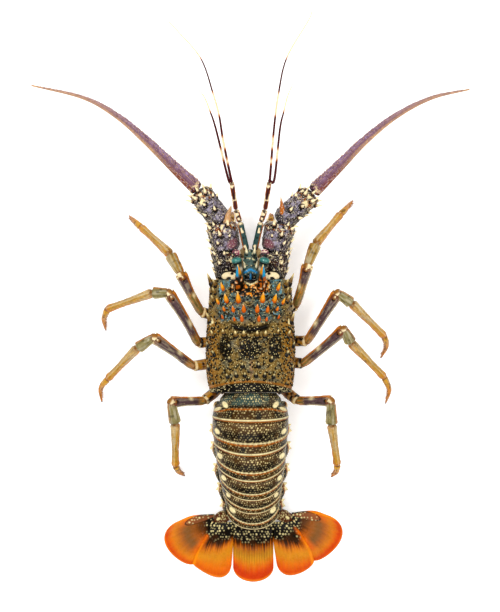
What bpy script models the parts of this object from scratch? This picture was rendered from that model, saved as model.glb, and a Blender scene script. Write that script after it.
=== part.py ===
"""A spiny lobster, as a still life-size model that stands on its legs and its tail fan.

Lengths are in metres. +Z is up, the head points to -Y and the tail to +Y, and the
animal's left side is at +X. The origin is on the floor, below the middle of the
animal's length and width.
"""

import bmesh
import bpy
import numpy as np
from mathutils import Vector

MM = 0.001
GAP = 0.3 * MM
CLEARANCE = 0.4 * MM
WELD = 0.03 * MM
SEED = 11

# Carapace: the barrel shell over head and thorax
CARAPACE_FRONT = -13.0 * MM
CARAPACE_REAR = 71.5 * MM
CARAPACE_WIDEST = 40.0 * MM
CARAPACE_HALF_WIDTH = 33.4 * MM
CARAPACE_FRONT_NARROWING = 3.9 * MM
CARAPACE_REAR_NARROWING = 3.0 * MM
CARAPACE_AXIS = 44.0 * MM
CARAPACE_TOP = 72.0 * MM
CARAPACE_FRONT_DROP = 12.0 * MM
CARAPACE_REAR_DROP = 5.0 * MM
# Lengths and powers of the curves by which the shell narrows and falls to its ends
CARAPACE_WIDTH_RUN = 56.0 * MM
CARAPACE_HEIGHT_RUN = 53.0 * MM
CARAPACE_REAR_RUN = 31.0 * MM
CARAPACE_FRONT_TAPER = 1.3
CARAPACE_REAR_TAPER = 2.6
CARAPACE_FRONT_FALL = 1.6
CARAPACE_REAR_FALL = 2
CARAPACE_BOTTOM = 26.0 * MM
CARAPACE_SIDES = 24
CARAPACE_STATIONS = 20
CARAPACE_ROUNDNESS = 2.2
SMALL_TURN = 0.01
BELLY_ROUNDNESS = 3.5
CERVICAL_GROOVE_Y = 23.6 * MM
CERVICAL_GROOVE_SWEEP = 15.0 * MM
CERVICAL_GROOVE_HALF_WIDTH = 26.0 * MM
CERVICAL_GROOVE_WIDTH = 2.4 * MM
CERVICAL_GROOVE_DEPTH = 1.7 * MM

# Horns over the eyes: path from the root inside the shell to the tip, left side
HORN_PATH = ((8.2, -4.5, 55.0), (8.3, -9.5, 63.5), (8.8, -17.0, 69.5), (9.5, -24.5, 72.0))
HORN_RADII = (4.6, 4.2, 2.5, 0.25)
HORN_SIDES = 8

# Spines of the carapace, left side: distance from the midline, y, length, root radius
CARAPACE_SPINES = (
    (9.0, 2.8, 8.0, 2.2),
    (18.0, 3.0, 8.5, 2.4),
    (5.0, 9.8, 5.5, 1.6),
    (12.8, 9.8, 7.5, 2.1),
    (19.5, 9.0, 5.0, 1.6),
    (6.3, 16.5, 6.0, 1.8),
    (12.0, 16.5, 4.0, 1.4),
    (22.0, 15.0, 5.0, 1.6),
    (5.1, 27.6, 4.0, 1.7),
    (11.0, 27.6, 4.0, 1.7),
    (20.0, 26.0, 4.0, 1.5),
    (6.2, 36.5, 3.2, 1.3),
    (15.5, 38.0, 3.4, 1.4),
    (15.4, 47.0, 3.4, 1.5),
    (6.0, 51.5, 3.2, 1.5),
    (4.1, 58.6, 3.0, 1.4),
    (10.5, 58.6, 3.0, 1.4),
    (17.0, 59.5, 3.0, 1.4),
)

# Spines low on its sides, left side: turn up from the widest line in degrees, y, length,
# root radius
SIDE_SPINES = (
    (14.0, -10.5, 7.5, 1.8),
    (32.0, -9.0, 5.5, 1.6),
    (16.0, -3.0, 4.0, 1.3),
    (30.0, 3.0, 5.0, 1.6),
    (16.0, 6.0, 3.5, 1.2),
    (20.0, 18.0, 6.5, 2.0),
    (34.0, 29.0, 4.5, 1.6),
    (20.0, 37.0, 3.5, 1.4),
    (38.0, 43.0, 3.6, 1.5),
    (22.0, 54.0, 3.4, 1.4),
)
SPINE_SIDES = 5
SPINE_LEAN = 0.95
SPINE_SINK = 1.6 * MM
SPINE_MIDDLE_SHARE = 0.62
SPINE_BOW = 0.06

# Low pointed knobs scattered between the spines
TUBERCLE_TRIES = 150
TUBERCLE_SPACING = 6.2 * MM
TUBERCLE_TURNS = (14.0, 166.0)
TUBERCLE_YS = (-6.0, 64.0)
TUBERCLE_LENGTHS = (1.5, 2.3)
TUBERCLE_RADII = (1.0, 1.5)
TUBERCLE_SIDES = 4
TUBERCLE_SINK = 0.7 * MM
TUBERCLE_LEAN = 0.4

# Antennular plate, between the roots of the antennae
PLATE_LENGTH = 22.5 * MM
PLATE_HALF_WIDTH = 6.4 * MM
PLATE_HEIGHT = 49.0 * MM
PLATE_THICKNESS = 8.0 * MM
PLATE_SHARES = (0.0, 0.25, 0.6, 0.9, 1.0)
PLATE_WIDTHS = (1.0, 1.0, 0.85, 0.7, 0.5)
PLATE_HEIGHTS = (1.0, 0.95, 0.75, 0.55, 0.4)
PLATE_SIDES = 12

# Spines of the plate, left side: root and tip
PLATE_SPINES = (
    ((4.0, -21.0, 50.0), (5.2, -27.0, 54.0)),
    ((2.6, -32.0, 50.0), (3.6, -38.5, 54.0)),
)
PLATE_SPINE_RADIUS = 1.3 * MM

# Eyes on their stalks, left side
EYE_ROOT = (5.4, -12.0, 53.5)
EYE_CENTRE = (10.4, -27.0, 57.5)
EYE_RADII = (3.4, 3.0, 3.1)
EYE_STALK_RADII = (1.8, 2.3, 2.5)
EYE_SEGMENTS = 10
EYE_RINGS = 6
EYE_STALK_SIDES = 7

# Antennae: joints of the peduncle, then the route of the flagellum, each side
PEDUNCLE_JOINTS = {
    "left": ((18.0, -13.0, 38.0), (18.0, -34.5, 38.0), (21.8, -56.0, 39.0), (39.4, -80.3, 41.0)),
    "right": ((18.0, -13.0, 38.0), (18.0, -34.5, 38.0), (22.6, -56.0, 39.0), (46.6, -78.4, 41.0)),
}
PEDUNCLE_HALF_WIDTHS = (9.4, 10.4, 11.4, 10.6, 9.8, 7.6)
PEDUNCLE_HALF_HEIGHTS = (10.4, 11.4, 11.8, 11.0, 10.2, 7.8)
PEDUNCLE_SIDES = 12
PEDUNCLE_STATIONS = 5
PEDUNCLE_SWELL = (0.93, 1.0, 1.03, 1.0, 0.93)

# Spines of each segment of an antenna: share of its length, turn round it from its
# outer side in degrees, length in millimetres
PEDUNCLE_SPINES = (
    ((0.55, 60.0, 4.0), (0.6, 110.0, 3.0), (0.6, 10.0, 4.0)),
    ((0.75, 30.0, 5.0), (0.8, 80.0, 5.5), (0.75, 130.0, 4.5), (0.7, -15.0, 4.0), (0.35, 60.0, 3.5)),
    (
        (0.85, 15.0, 5.5),
        (0.85, 60.0, 5.5),
        (0.85, 110.0, 5.5),
        (0.85, 160.0, 5.0),
        (0.12, 172.0, 8.5),
        (0.4, 40.0, 4.0),
        (0.4, 100.0, 4.0),
    ),
)
PEDUNCLE_SPINE_RADIUS = 1.7 * MM
PEDUNCLE_SPINE_OUTWARD = 0.6
PEDUNCLE_SPINE_FORWARD = 0.8

# Route of the flagellum of each antenna
FLAGELLUM_ROUTES = {
    "left": (
        (39.4, -80.3, 41.0),
        (59.4, -99.2, 46.0),
        (78.4, -117.3, 51.0),
        (99.6, -135.2, 55.0),
        (124.9, -149.0, 58.0),
        (164.0, -158.3, 60.0),
    ),
    "right": (
        (46.6, -78.4, 41.0),
        (67.4, -98.9, 46.0),
        (85.9, -117.3, 51.0),
        (108.6, -135.2, 55.0),
        (135.0, -148.7, 58.0),
        (164.0, -155.4, 60.0),
    ),
}
FLAGELLUM_RADIUS = 4.7 * MM
FLAGELLUM_TIP_RADIUS = 0.5 * MM
FLAGELLUM_FLARE = 0.15
FLAGELLUM_FLARE_SHARE = 0.17
FLAGELLUM_SIDES = 8
FLAGELLUM_STATIONS = 22

# Antennules, left side: the jointed stem, then two thin whips
ANTENNULE_STEM = ((3.0, -35.0, 49.0), (7.9, -56.2, 52.0), (10.9, -65.2, 54.0), (14.2, -86.5, 58.0))
ANTENNULE_STEM_RADII = (2.6, 2.1, 1.9, 1.6)
ANTENNULE_LONG = {
    "left": (
        (14.7, -88.9, 59.0),
        (20.6, -117.8, 62.5),
        (23.5, -135.8, 64.5),
        (28.1, -152.5, 66.0),
        (37.3, -178.5, 68.0),
        (55.9, -200.3, 69.5),
        (62.0, -206.5, 70.0),
    ),
    "right": (
        (14.6, -89.3, 59.0),
        (17.5, -125.3, 63.0),
        (20.9, -151.7, 66.0),
        (27.0, -178.5, 68.0),
        (43.1, -206.3, 69.5),
        (46.1, -213.8, 70.0),
    ),
}
ANTENNULE_SHORT = {
    "left": (
        (16.9, -89.3, 57.0),
        (25.8, -125.3, 57.5),
        (30.0, -138.3, 57.8),
        (34.9, -150.2, 58.0),
        (40.4, -156.3, 58.0),
    ),
    "right": (
        (18.0, -89.0, 57.0),
        (22.0, -125.3, 57.5),
        (24.8, -138.3, 57.8),
        (27.8, -150.2, 58.0),
        (31.7, -159.4, 58.0),
    ),
}
ANTENNULE_LONG_STATIONS = 16
ANTENNULE_SHORT_STATIONS = 10
ANTENNULE_STEM_STATIONS = 9
ANTENNULE_OVERLAP = 3.0 * MM
ANTENNULE_WHIP_RADIUS = 1.1 * MM
ANTENNULE_TIP_RADIUS = 0.35 * MM

# Sternum, the plate between the roots of the legs
STERNUM_FRONT = 0.0
STERNUM_REAR = 70.0 * MM
STERNUM_FRONT_HALF_WIDTH = 6.0 * MM
STERNUM_REAR_HALF_WIDTH = 17.0 * MM
STERNUM_BOTTOM = 14.5 * MM
STERNUM_TOP = CARAPACE_BOTTOM - GAP
STERNUM_SIDES = 12
STERNUM_STATIONS = 5
STERNUM_POWER = 0.5

# Legs: where each pair grows from the sternum, and the heights of its joints from the
# ischium to the tip
LEG_ROOT_Y = (6.0, 19.0, 33.0, 47.0, 61.0)
LEG_ROOT_HEIGHT = 19.8 * MM
LEG_ROOT_SINK = 2.0 * MM
LEG_COXA_SHARES = (0.55, 0.55, 0.17)
LEG_HEIGHTS = (
    (18.5, 19.5, 20.5, 20.0, 9.0, 4.5, 0.0),
    (28.5, 40.5, 50.0, 48.0, 16.0, 8.0, 0.0),
    (29.5, 45.0, 58.0, 56.0, 19.0, 9.5, 0.0),
    (29.5, 43.5, 56.0, 53.0, 19.0, 9.5, 0.0),
    (27.0, 35.5, 43.0, 40.0, 13.0, 6.5, 0.0),
)

# Legs from above: ischium, middle of the merus, knee, wrist, ankle, middle of the claw, tip
LEG_PLANS = {
    "leg_1_left": (
        (20.5, 1.0), (22.5, -14.0), (23.5, -30.0), (20.5, -41.0),
        (14.5, -58.0), (13.8, -61.5), (13.5, -64.0),
    ),
    "leg_1_right": (
        (-20.5, 1.0), (-22.5, -14.0), (-23.5, -29.0), (-20.5, -40.0),
        (-15.5, -57.0), (-15.1, -60.5), (-15.0, -63.0),
    ),
    "leg_2_left": (
        (37.2, 11.3), (45.2, -3.0), (52.1, -17.3), (60.4, -32.3),
        (82.1, -52.5), (87.5, -57.5), (91.6, -61.5),
    ),
    "leg_2_right": (
        (-34.2, 6.0), (-39.2, -10.0), (-42.6, -23.6), (-49.0, -40.0),
        (-67.7, -62.3), (-73.0, -68.0), (-77.3, -72.8),
    ),
    "leg_3_left": (
        (39.5, 34.3), (48.4, 17.6), (61.2, -3.2), (73.5, -3.0),
        (107.6, 9.0), (110.3, 17.0), (108.7, 25.5),
    ),
    "leg_3_right": (
        (-42.5, 33.0), (-52.1, 18.0), (-65.3, -3.0), (-75.8, 4.7),
        (-100.4, 29.3), (-102.2, 37.0), (-97.7, 46.2),
    ),
    "leg_4_left": (
        (43.1, 51.8), (56.6, 41.6), (72.4, 30.2), (84.8, 38.3),
        (107.2, 61.4), (112.7, 68.8), (111.8, 79.5),
    ),
    "leg_4_right": (
        (-39.4, 49.9), (-54.4, 38.0), (-70.0, 24.2), (-75.2, 34.3),
        (-100.4, 60.2), (-104.3, 70.0), (-101.4, 80.5),
    ),
    "leg_5_left": (
        (34.9, 78.0), (47.0, 78.2), (59.6, 78.8), (56.4, 95.0),
        (56.4, 126.8), (54.0, 131.5), (49.1, 134.6),
    ),
    "leg_5_right": (
        (-35.6, 78.0), (-48.0, 77.8), (-60.4, 78.0), (-60.9, 95.9),
        (-65.2, 126.0), (-64.5, 131.5), (-60.4, 135.5),
    ),
}
LEG_UPPER_RADII = (4.7, 4.5, 3.6, 3.5, 4.0)
LEG_LOWER_RADII = (3.8, 3.5, 3.2, 3.1, 2.7, 1.7, 1.0)
LEG_HEIGHT_RATIO = 1.1
LEG_SIDES = 8
FOOT_FLAT = 0.8 * MM

# Spine at the top of each knee, on the walking legs
KNEE_SPINE_SHARE = 0.86
KNEE_SPINE_LENGTH = 3.6 * MM
KNEE_SPINE_RADIUS = 1.2 * MM
KNEE_SPINE_RISE = 0.5

# Outer mouth legs, left side
MAXILLIPED_PATH = (
    (6.5, -0.5, 20.0),
    (8.5, -14.0, 19.5),
    (8.0, -30.0, 20.0),
    (5.0, -36.0, 14.0),
    (4.0, -27.0, 9.5),
)
MAXILLIPED_RADII = (3.0, 3.3, 2.9, 2.3, 0.8)
MAXILLIPED_STATIONS = 10
MAXILLIPED_WIDTH_RATIO = 0.85

# Abdomen: the planes between its rings, each with the y and z of its top, its tilt
# in degrees, its half width, and its height and depth from the widest line
ABDOMEN_PLANES = (
    (71.8, 66.0, 0.0, 24.0, 27.0, 8.0),
    (93.8, 64.4, 8.0, 28.4, 27.0, 8.0),
    (119.2, 57.7, 19.0, 26.8, 26.0, 8.0),
    (138.8, 49.0, 27.0, 24.8, 23.0, 8.0),
    (153.0, 40.4, 32.0, 22.4, 20.0, 7.0),
    (162.8, 33.8, 32.0, 20.3, 17.0, 6.0),
    (174.8, 26.0, 22.0, 17.4, 11.0, 5.0),
)
SOMITE_STATIONS = (0.0, 0.12, 0.5, 0.6, 0.7, 0.9, 1.0)
SOMITE_SCALES = (0.955, 0.985, 1.0, 0.968, 1.0, 1.0, 0.985)
SOMITE_SIDES = 20

# Spikes at the sides of the rings, left side: tips, and half lengths of the roots
PLEURON_TIPS = (
    (27.8, 81.8, 29.5),
    (29.6, 98.8, 20.0),
    (29.3, 112.1, 16.0),
    (27.9, 128.6, 11.0),
    (25.6, 143.0, 8.0),
    (23.3, 155.3, 7.0),
)
PLEURON_ROOT_LENGTHS = (4.2, 6.2, 5.6, 4.4, 3.2, 3.4)
PLEURON_LENGTH = 13.0 * MM
PLEURON_SPLAY = 5.2 * MM
PLEURON_THICKNESS = 2.2 * MM
PLEURON_TIP_RADIUS = 0.5 * MM
PLEURON_SHARES = (0.0, 0.55, 1.0)
PLEURON_SIDES = 8

# The tail lies a little to the right of the midline
TAIL_DRIFT = -2.2 * MM
TAIL_DRIFT_FROM = 100.0 * MM
TAIL_DRIFT_OVER = 90.0 * MM

# Flaps below rings two to five
PLEOPOD_SOMITES = (2, 3, 4, 5)
PLEOPOD_PLACE = 0.65
PLEOPOD_OFFSET = 11.0 * MM
PLEOPOD_SINK = 2.5 * MM
PLEOPOD_HANG = 8.4 * MM
PLEOPOD_FLOOR = 5.0 * MM
PLEOPOD_SPLAY = 2.0 * MM
PLEOPOD_SWEEP = 4.2 * MM
PLEOPOD_HALF_WIDTHS = (2.7 * MM, 4.5 * MM, 1.6 * MM)
PLEOPOD_HALF_THICKNESSES = (0.9 * MM, 0.8 * MM, 0.6 * MM)

# Tail fan blades: the inner and the outer edge from root to corner, how far the end bows
# out past its corners, how far that bow leans to the outer corner, and the number of rays
FAN_BLADES = {
    "telson": (
        ((13.2, 168.0), (13.1, 203.0)),
        ((-16.8, 168.0), (-17.4, 203.0)),
        11.3, 0.0, 9,
    ),
    "endopod_left": (
        ((14.2, 172.5), (14.2, 200.0)),
        ((28.5, 173.5), (39.6, 190.0), (43.6, 199.8)),
        10.1, -0.5, 7,
    ),
    "endopod_right": (
        ((-18.4, 172.5), (-19.3, 197.0)),
        ((-32.5, 172.5), (-44.0, 187.0), (-48.0, 198.0)),
        11.6, -0.3, 7,
    ),
    "exopod_left": (
        ((29.3, 172.3), (40.4, 189.6), (44.4, 199.8)),
        ((27.0, 163.0), (43.6, 164.4), (53.0, 168.1)),
        15.5, 0.28, 7,
    ),
    "exopod_right": (
        ((-33.3, 171.3), (-44.8, 186.6), (-48.8, 197.0)),
        ((-31.0, 162.0), (-47.0, 160.7), (-58.0, 164.0)),
        14.8, 0.33, 7,
    ),
}
FAN_EDGE_THICKNESS = 0.8 * MM
FAN_ROOT_THICKNESS = 4.5 * MM
FAN_FLAT_FROM = 0.5
FAN_THIN_FROM = 0.8
FAN_THINNING = 1.5
FAN_RIDGE = 0.5 * MM
FAN_RIDGES_FROM = 0.25
FAN_ROWS = 7
TELSON_ROOT_HEIGHT = 12.0 * MM
UROPOD_ROOT_HEIGHT = 4.0 * MM
PROTOPOD_PATHS = {
    "left": ((15.0, 163.0, 14.0), (21.5, 165.5, 11.5), (27.5, 169.0, 6.5)),
    "right": ((-18.6, 162.5, 14.0), (-25.2, 164.5, 11.5), (-31.5, 168.0, 6.5)),
}
PROTOPOD_HALF_WIDTHS = (4.2, 4.5, 3.5)
PROTOPOD_HALF_HEIGHTS = (4.0, 3.6, 2.4)
PROTOPOD_SIDES = 8

# Colours from the animal: shell, horn, joints and blades
COLOURS = {
    "shell": ((0.23, 0.19, 0.08), 0.4),
    "eye": ((0.02, 0.07, 0.07), 0.08),
    "antenna": ((0.30, 0.22, 0.28), 0.45),
    "flagellum": ((0.34, 0.17, 0.18), 0.5),
    "antennule": ((0.27, 0.10, 0.10), 0.45),
    "leg": ((0.30, 0.24, 0.24), 0.42),
    "belly": ((0.55, 0.45, 0.32), 0.5),
    "abdomen": ((0.10, 0.10, 0.06), 0.38),
    "fan": ((0.42, 0.17, 0.04), 0.45),
}


def clear_scene():
    """Removes every object that the scene starts with."""
    for old in list(bpy.data.objects):
        bpy.data.objects.remove(old, do_unlink=True)


def new_collection(name):
    collection = bpy.data.collections.new(name)
    bpy.context.scene.collection.children.link(collection)
    return collection


def material(name):
    """The Principled material of one of the named colours."""
    found = bpy.data.materials.get(name)
    if found:
        return found
    colour, roughness = COLOURS[name]
    made = bpy.data.materials.new(name)
    made.use_nodes = True
    shader = made.node_tree.nodes["Principled BSDF"]
    shader.inputs["Base Color"].default_value = (*colour, 1.0)
    shader.inputs["Roughness"].default_value = roughness
    shader.inputs["Metallic"].default_value = 0.0
    return made


def add_node(name, mesh, colour):
    """Links a finished mesh as one named part of the lobster."""
    mesh.name = name
    mesh.materials.clear()
    mesh.materials.append(material(colour))
    mesh.shade_smooth()
    mesh.set_sharp_from_angle(angle=np.radians(40.0))
    part = bpy.data.objects.new(name, mesh)
    PARTS.objects.link(part)
    return part


def mesh_from_bmesh(shape):
    """Turns a closed shape's faces outward and hands it over as a mesh."""
    bmesh.ops.recalc_face_normals(shape, faces=shape.faces)
    mesh = bpy.data.meshes.new("shape")
    shape.to_mesh(mesh)
    shape.free()
    return mesh


def loft(rings, pointed=False):
    """A closed shell over rings of equal point counts, with each end closed by a fan.

    When pointed, the last ring is one point.
    """
    shape = bmesh.new()
    rows = [[shape.verts.new(point) for point in ring] for ring in rings]
    for lower, upper in zip(rows, rows[1:]):
        for i in range(len(lower)):
            j = (i + 1) % len(lower)
            if len(upper) == 1:
                shape.faces.new((lower[i], lower[j], upper[0]))
                continue
            shape.faces.new((lower[i], lower[j], upper[j]))
            shape.faces.new((lower[i], upper[j], upper[i]))
    for row in rows[:1] if pointed else (rows[0], rows[-1]):
        centre = shape.verts.new(np.mean([vertex.co for vertex in row], axis=0))
        for i in range(len(row)):
            shape.faces.new((row[i], row[(i + 1) % len(row)], centre))
    return mesh_from_bmesh(shape)


def smooth_path(points, count):
    """A curve of count points through the given ones, at even steps of its parameter."""
    knots = np.array([2 * points[0] - points[1], *points, 2 * points[-1] - points[-2]])
    places = np.linspace(0, len(points) - 1, count)
    spans = np.minimum(places.astype(int), len(points) - 2)
    t = (places - spans)[:, None]
    before, start, end, after = (knots[spans + i] for i in range(4))
    return 0.5 * (
        2 * start
        + (end - before) * t
        + (2 * before - 5 * start + 4 * end - after) * t**2
        + (3 * start - before - 3 * end + after) * t**3
    )


def directions(path):
    """The unit direction at each point of a path, halfway between its two neighbours."""
    steps = np.diff(path, axis=0)
    steps /= np.linalg.norm(steps, axis=1)[:, None]
    middle = np.concatenate([steps[:1], steps[:-1] + steps[1:], steps[-1:]])
    return middle / np.linalg.norm(middle, axis=1)[:, None]


def tube_rings(path, half_widths, half_heights, sides, normals=None):
    """Elliptical rings square to a path, with their widths level with the floor."""
    path = np.asarray(path, float)
    normals = directions(path) if normals is None else normals
    turns = np.linspace(0, 2 * np.pi, sides, endpoint=False)
    rings = []
    side = np.array((1.0, 0.0, 0.0))
    for centre, normal, width, height in zip(path, normals, half_widths, half_heights):
        across = np.cross(normal, (0.0, 0.0, 1.0))
        if np.linalg.norm(across) > 0.3:
            across /= np.linalg.norm(across)
            side = across
        up = np.cross(side, normal)
        rings.append(
            centre + np.outer(np.cos(turns) * width, side) + np.outer(np.sin(turns) * height, up)
        )
    return rings


def tapered_spine(root, tip, radius, sides=SPINE_SIDES):
    """A spine that leaves its root thick, bows a little, and ends in a point."""
    root = np.array(root, float)
    tip = np.array(tip, float)
    bow = np.array((0.0, 0.0, SPINE_BOW * np.linalg.norm(tip - root)))
    path = [root, (root + tip) / 2 + bow, tip]
    radii = [radius, radius * SPINE_MIDDLE_SHARE, 0.0]
    rings = tube_rings(path, radii, radii, sides)
    return loft([rings[0], rings[1], [tip]], pointed=True)


def knob(foot, out, length, radius):
    """A low pointed knob on a surface, with its root sunk into it."""
    lean = out + np.array((0.0, -TUBERCLE_LEAN, 0.0))
    root = foot - out * TUBERCLE_SINK
    tip = foot + lean / np.linalg.norm(lean) * length
    ring = tube_rings([root, tip], (radius, radius), (radius, radius), TUBERCLE_SIDES)[0]
    return loft([ring, [tip]], pointed=True)


def enclosed_volume(faces):
    """The volume inside a closed set of faces, whichever way they point."""
    return abs(sum(f.calc_center_median().dot(f.normal) * f.calc_area() for f in faces)) / 3


def largest_shell(mesh):
    """Keeps only the closed surface that holds the largest volume, with slivers welded."""
    shape = bmesh.new()
    shape.from_mesh(mesh)
    left = set(shape.faces)
    shells = []
    while left:
        shell = set()
        waiting = [left.pop()]
        while waiting:
            face = waiting.pop()
            shell.add(face)
            near = {other for edge in face.edges for other in edge.link_faces} & left
            left -= near
            waiting.extend(near)
        shells.append(shell)
    shells.sort(key=enclosed_volume)
    dropped = [face for shell in shells[:-1] for face in shell]
    bmesh.ops.delete(shape, geom=dropped, context="FACES")
    bmesh.ops.remove_doubles(shape, verts=shape.verts, dist=WELD)
    bmesh.ops.dissolve_degenerate(shape, dist=WELD, edges=shape.edges)
    bmesh.ops.triangulate(shape, faces=shape.faces)
    shape.to_mesh(mesh)
    shape.free()
    return mesh


def combined(base, others, operation, solver="MANIFOLD"):
    """The base mesh joined with, or cut by, the other closed meshes in one Boolean."""
    body = bpy.data.objects.new("body", base)
    bpy.context.scene.collection.objects.link(body)
    helpers = new_collection("helpers")
    for other in others:
        helper = bpy.data.objects.new("helper", other)
        helper.hide_render = True
        helper.display_type = "WIRE"
        helpers.objects.link(helper)
    boolean = body.modifiers.new("combine", "BOOLEAN")
    boolean.operation = operation
    boolean.operand_type = "COLLECTION"
    boolean.collection = helpers
    boolean.solver = solver
    graph = bpy.context.evaluated_depsgraph_get()
    result = bpy.data.meshes.new_from_object(body.evaluated_get(graph))
    for helper in list(helpers.objects):
        bpy.data.objects.remove(helper, do_unlink=True)
    bpy.data.collections.remove(helpers)
    bpy.data.objects.remove(body, do_unlink=True)
    return largest_shell(result)


def grown(mesh, distance):
    """A copy of a closed mesh with its surface moved outward."""
    copy = mesh.copy()
    normals = [Vector(vertex.normal) for vertex in mesh.vertices]
    for vertex, normal in zip(copy.vertices, normals):
        vertex.co += normal * distance
    return copy


def cut_clear(mesh, neighbour):
    """Cuts a piece clear of the part that it grows from, by the gap between parts."""
    return combined(mesh, [grown(neighbour.data, CLEARANCE)], "DIFFERENCE")


def oval_section(half_width, height, depth, sides):
    """Points of a closed section round its widest line: rounded above, boxier below."""
    turns = np.linspace(0, 2 * np.pi, sides, endpoint=False)
    power = np.where(np.sin(turns) >= 0, 2 / CARAPACE_ROUNDNESS, 2 / BELLY_ROUNDNESS)
    across = half_width * np.sign(np.cos(turns)) * np.abs(np.cos(turns)) ** power
    up = np.sign(np.sin(turns)) * np.abs(np.sin(turns)) ** power
    return across, up * np.where(up >= 0, height, depth)


def carapace_half_width(y):
    ahead = np.clip((CARAPACE_WIDEST - y) / CARAPACE_WIDTH_RUN, 0, None) ** CARAPACE_FRONT_TAPER
    behind = np.clip((y - CARAPACE_WIDEST) / CARAPACE_REAR_RUN, 0, None) ** CARAPACE_REAR_TAPER
    return CARAPACE_HALF_WIDTH - CARAPACE_FRONT_NARROWING * ahead - CARAPACE_REAR_NARROWING * behind


def carapace_top(y):
    ahead = np.clip((CARAPACE_WIDEST - y) / CARAPACE_HEIGHT_RUN, 0, None) ** CARAPACE_FRONT_FALL
    behind = np.clip((y - CARAPACE_WIDEST) / CARAPACE_REAR_RUN, 0, None) ** CARAPACE_REAR_FALL
    return CARAPACE_TOP - CARAPACE_FRONT_DROP * ahead - CARAPACE_REAR_DROP * behind


def cervical_groove(x, y):
    """How deep the U-shaped groove across the shell is below the plain surface."""
    groove_y = CERVICAL_GROOVE_Y - CERVICAL_GROOVE_SWEEP * (x / CERVICAL_GROOVE_HALF_WIDTH) ** 2
    return CERVICAL_GROOVE_DEPTH * np.exp(-(((y - groove_y) / CERVICAL_GROOVE_WIDTH) ** 2))


def carapace_ring(y):
    """The section of the carapace across the body at one y."""
    half_width = float(carapace_half_width(y))
    height = float(carapace_top(y)) - CARAPACE_AXIS
    across, up = oval_section(half_width, height, CARAPACE_AXIS - CARAPACE_BOTTOM, CARAPACE_SIDES)
    sunk = np.where(up > 0, cervical_groove(across, y), 0)
    shrink = 1 - sunk / np.hypot(across, np.maximum(up, 1e-6))
    return np.column_stack([across * shrink, np.full_like(across, y), CARAPACE_AXIS + up * shrink])


def turn_at(x, y):
    """The turn round the upper shell, from its left edge, of the point x from the midline."""
    share = abs(x) / carapace_half_width(y)
    turn = np.arccos(share ** (CARAPACE_ROUNDNESS / 2))
    return turn if x > 0 else np.pi - turn


def shell_point(turn, y):
    """The point of the upper shell at a turn and a y, and the direction out of it there."""

    def place(angle, at):
        power = 2 / CARAPACE_ROUNDNESS
        reach = np.sign(np.cos(angle)) * np.abs(np.cos(angle)) ** power
        rise = (carapace_top(at) - CARAPACE_AXIS) * np.sin(angle) ** power
        return np.array((carapace_half_width(at) * reach, at, CARAPACE_AXIS + rise))

    across = place(turn + SMALL_TURN, y) - place(turn - SMALL_TURN, y)
    along = place(turn, y + CLEARANCE) - place(turn, y - CLEARANCE)
    out = np.cross(along, across)
    return place(turn, y), out / np.linalg.norm(out)


def mirrored(points, side):
    """Points in millimetres given for the left side, in metres for the wanted side."""
    return np.array(points, float) * MM * (side, 1, 1)


def make_carapace():
    """The shell, with its horns, forward-leaning spines and knobs fused on."""
    ends = (CARAPACE_FRONT, CARAPACE_REAR)
    shell = loft([carapace_ring(y) for y in np.linspace(*ends, CARAPACE_STATIONS)])
    forms = []
    feet = []
    for side in (1, -1):
        path = mirrored(HORN_PATH, side)
        radii = np.array(HORN_RADII) * MM
        rings = tube_rings(path, radii, radii, HORN_SIDES)
        forms.append(loft([*rings[:-1], [path[-1]]], pointed=True))
        places = [(turn_at(side * x * MM, y * MM), y, *sizes) for x, y, *sizes in CARAPACE_SPINES]
        for turn, y, *sizes in SIDE_SPINES:
            turn = np.radians(turn)
            places.append((turn if side > 0 else np.pi - turn, y, *sizes))
        for turn, y, length, radius in places:
            foot, out = shell_point(turn, y * MM)
            lean = out + np.array((0.0, -SPINE_LEAN, 0.0))
            tip = foot + lean / np.linalg.norm(lean) * length * MM
            forms.append(tapered_spine(foot - out * SPINE_SINK, tip, radius * MM))
            feet.append(foot)
    forms += scattered_knobs(feet)
    return add_node("carapace", combined(shell, forms, "UNION"), "shell")


def scattered_knobs(feet):
    """Knobs at seeded places of the shell, clear of the groove and of what stands there."""
    draw = np.random.default_rng(SEED)
    feet = list(feet)
    knobs = []
    for _ in range(TUBERCLE_TRIES):
        turn = np.radians(draw.uniform(*TUBERCLE_TURNS))
        y = draw.uniform(*TUBERCLE_YS) * MM
        length = draw.uniform(*TUBERCLE_LENGTHS) * MM
        radius = draw.uniform(*TUBERCLE_RADII) * MM
        foot, out = shell_point(turn, y)
        nearest = min(np.linalg.norm(foot - other) for other in feet)
        if nearest > TUBERCLE_SPACING and cervical_groove(foot[0], y) < CLEARANCE:
            feet.append(foot)
            knobs.append(knob(foot, out, length, radius))
    return knobs


def make_antennular_plate():
    """The small plate between the antennae, with two pairs of spines."""
    ys = CARAPACE_FRONT - GAP - np.array(PLATE_SHARES) * PLATE_LENGTH
    widths = np.array(PLATE_WIDTHS) * PLATE_HALF_WIDTH
    heights = np.array(PLATE_HEIGHTS) * PLATE_THICKNESS / 2
    path = np.array([(0.0, y, PLATE_HEIGHT) for y in ys])
    plate = loft(tube_rings(path, widths, heights, PLATE_SIDES))
    spines = [
        tapered_spine(mirrored(root, side), mirrored(tip, side), PLATE_SPINE_RADIUS)
        for side in (1, -1)
        for root, tip in PLATE_SPINES
    ]
    return add_node("antennular_plate", combined(plate, spines, "UNION"), "antenna")


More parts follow.
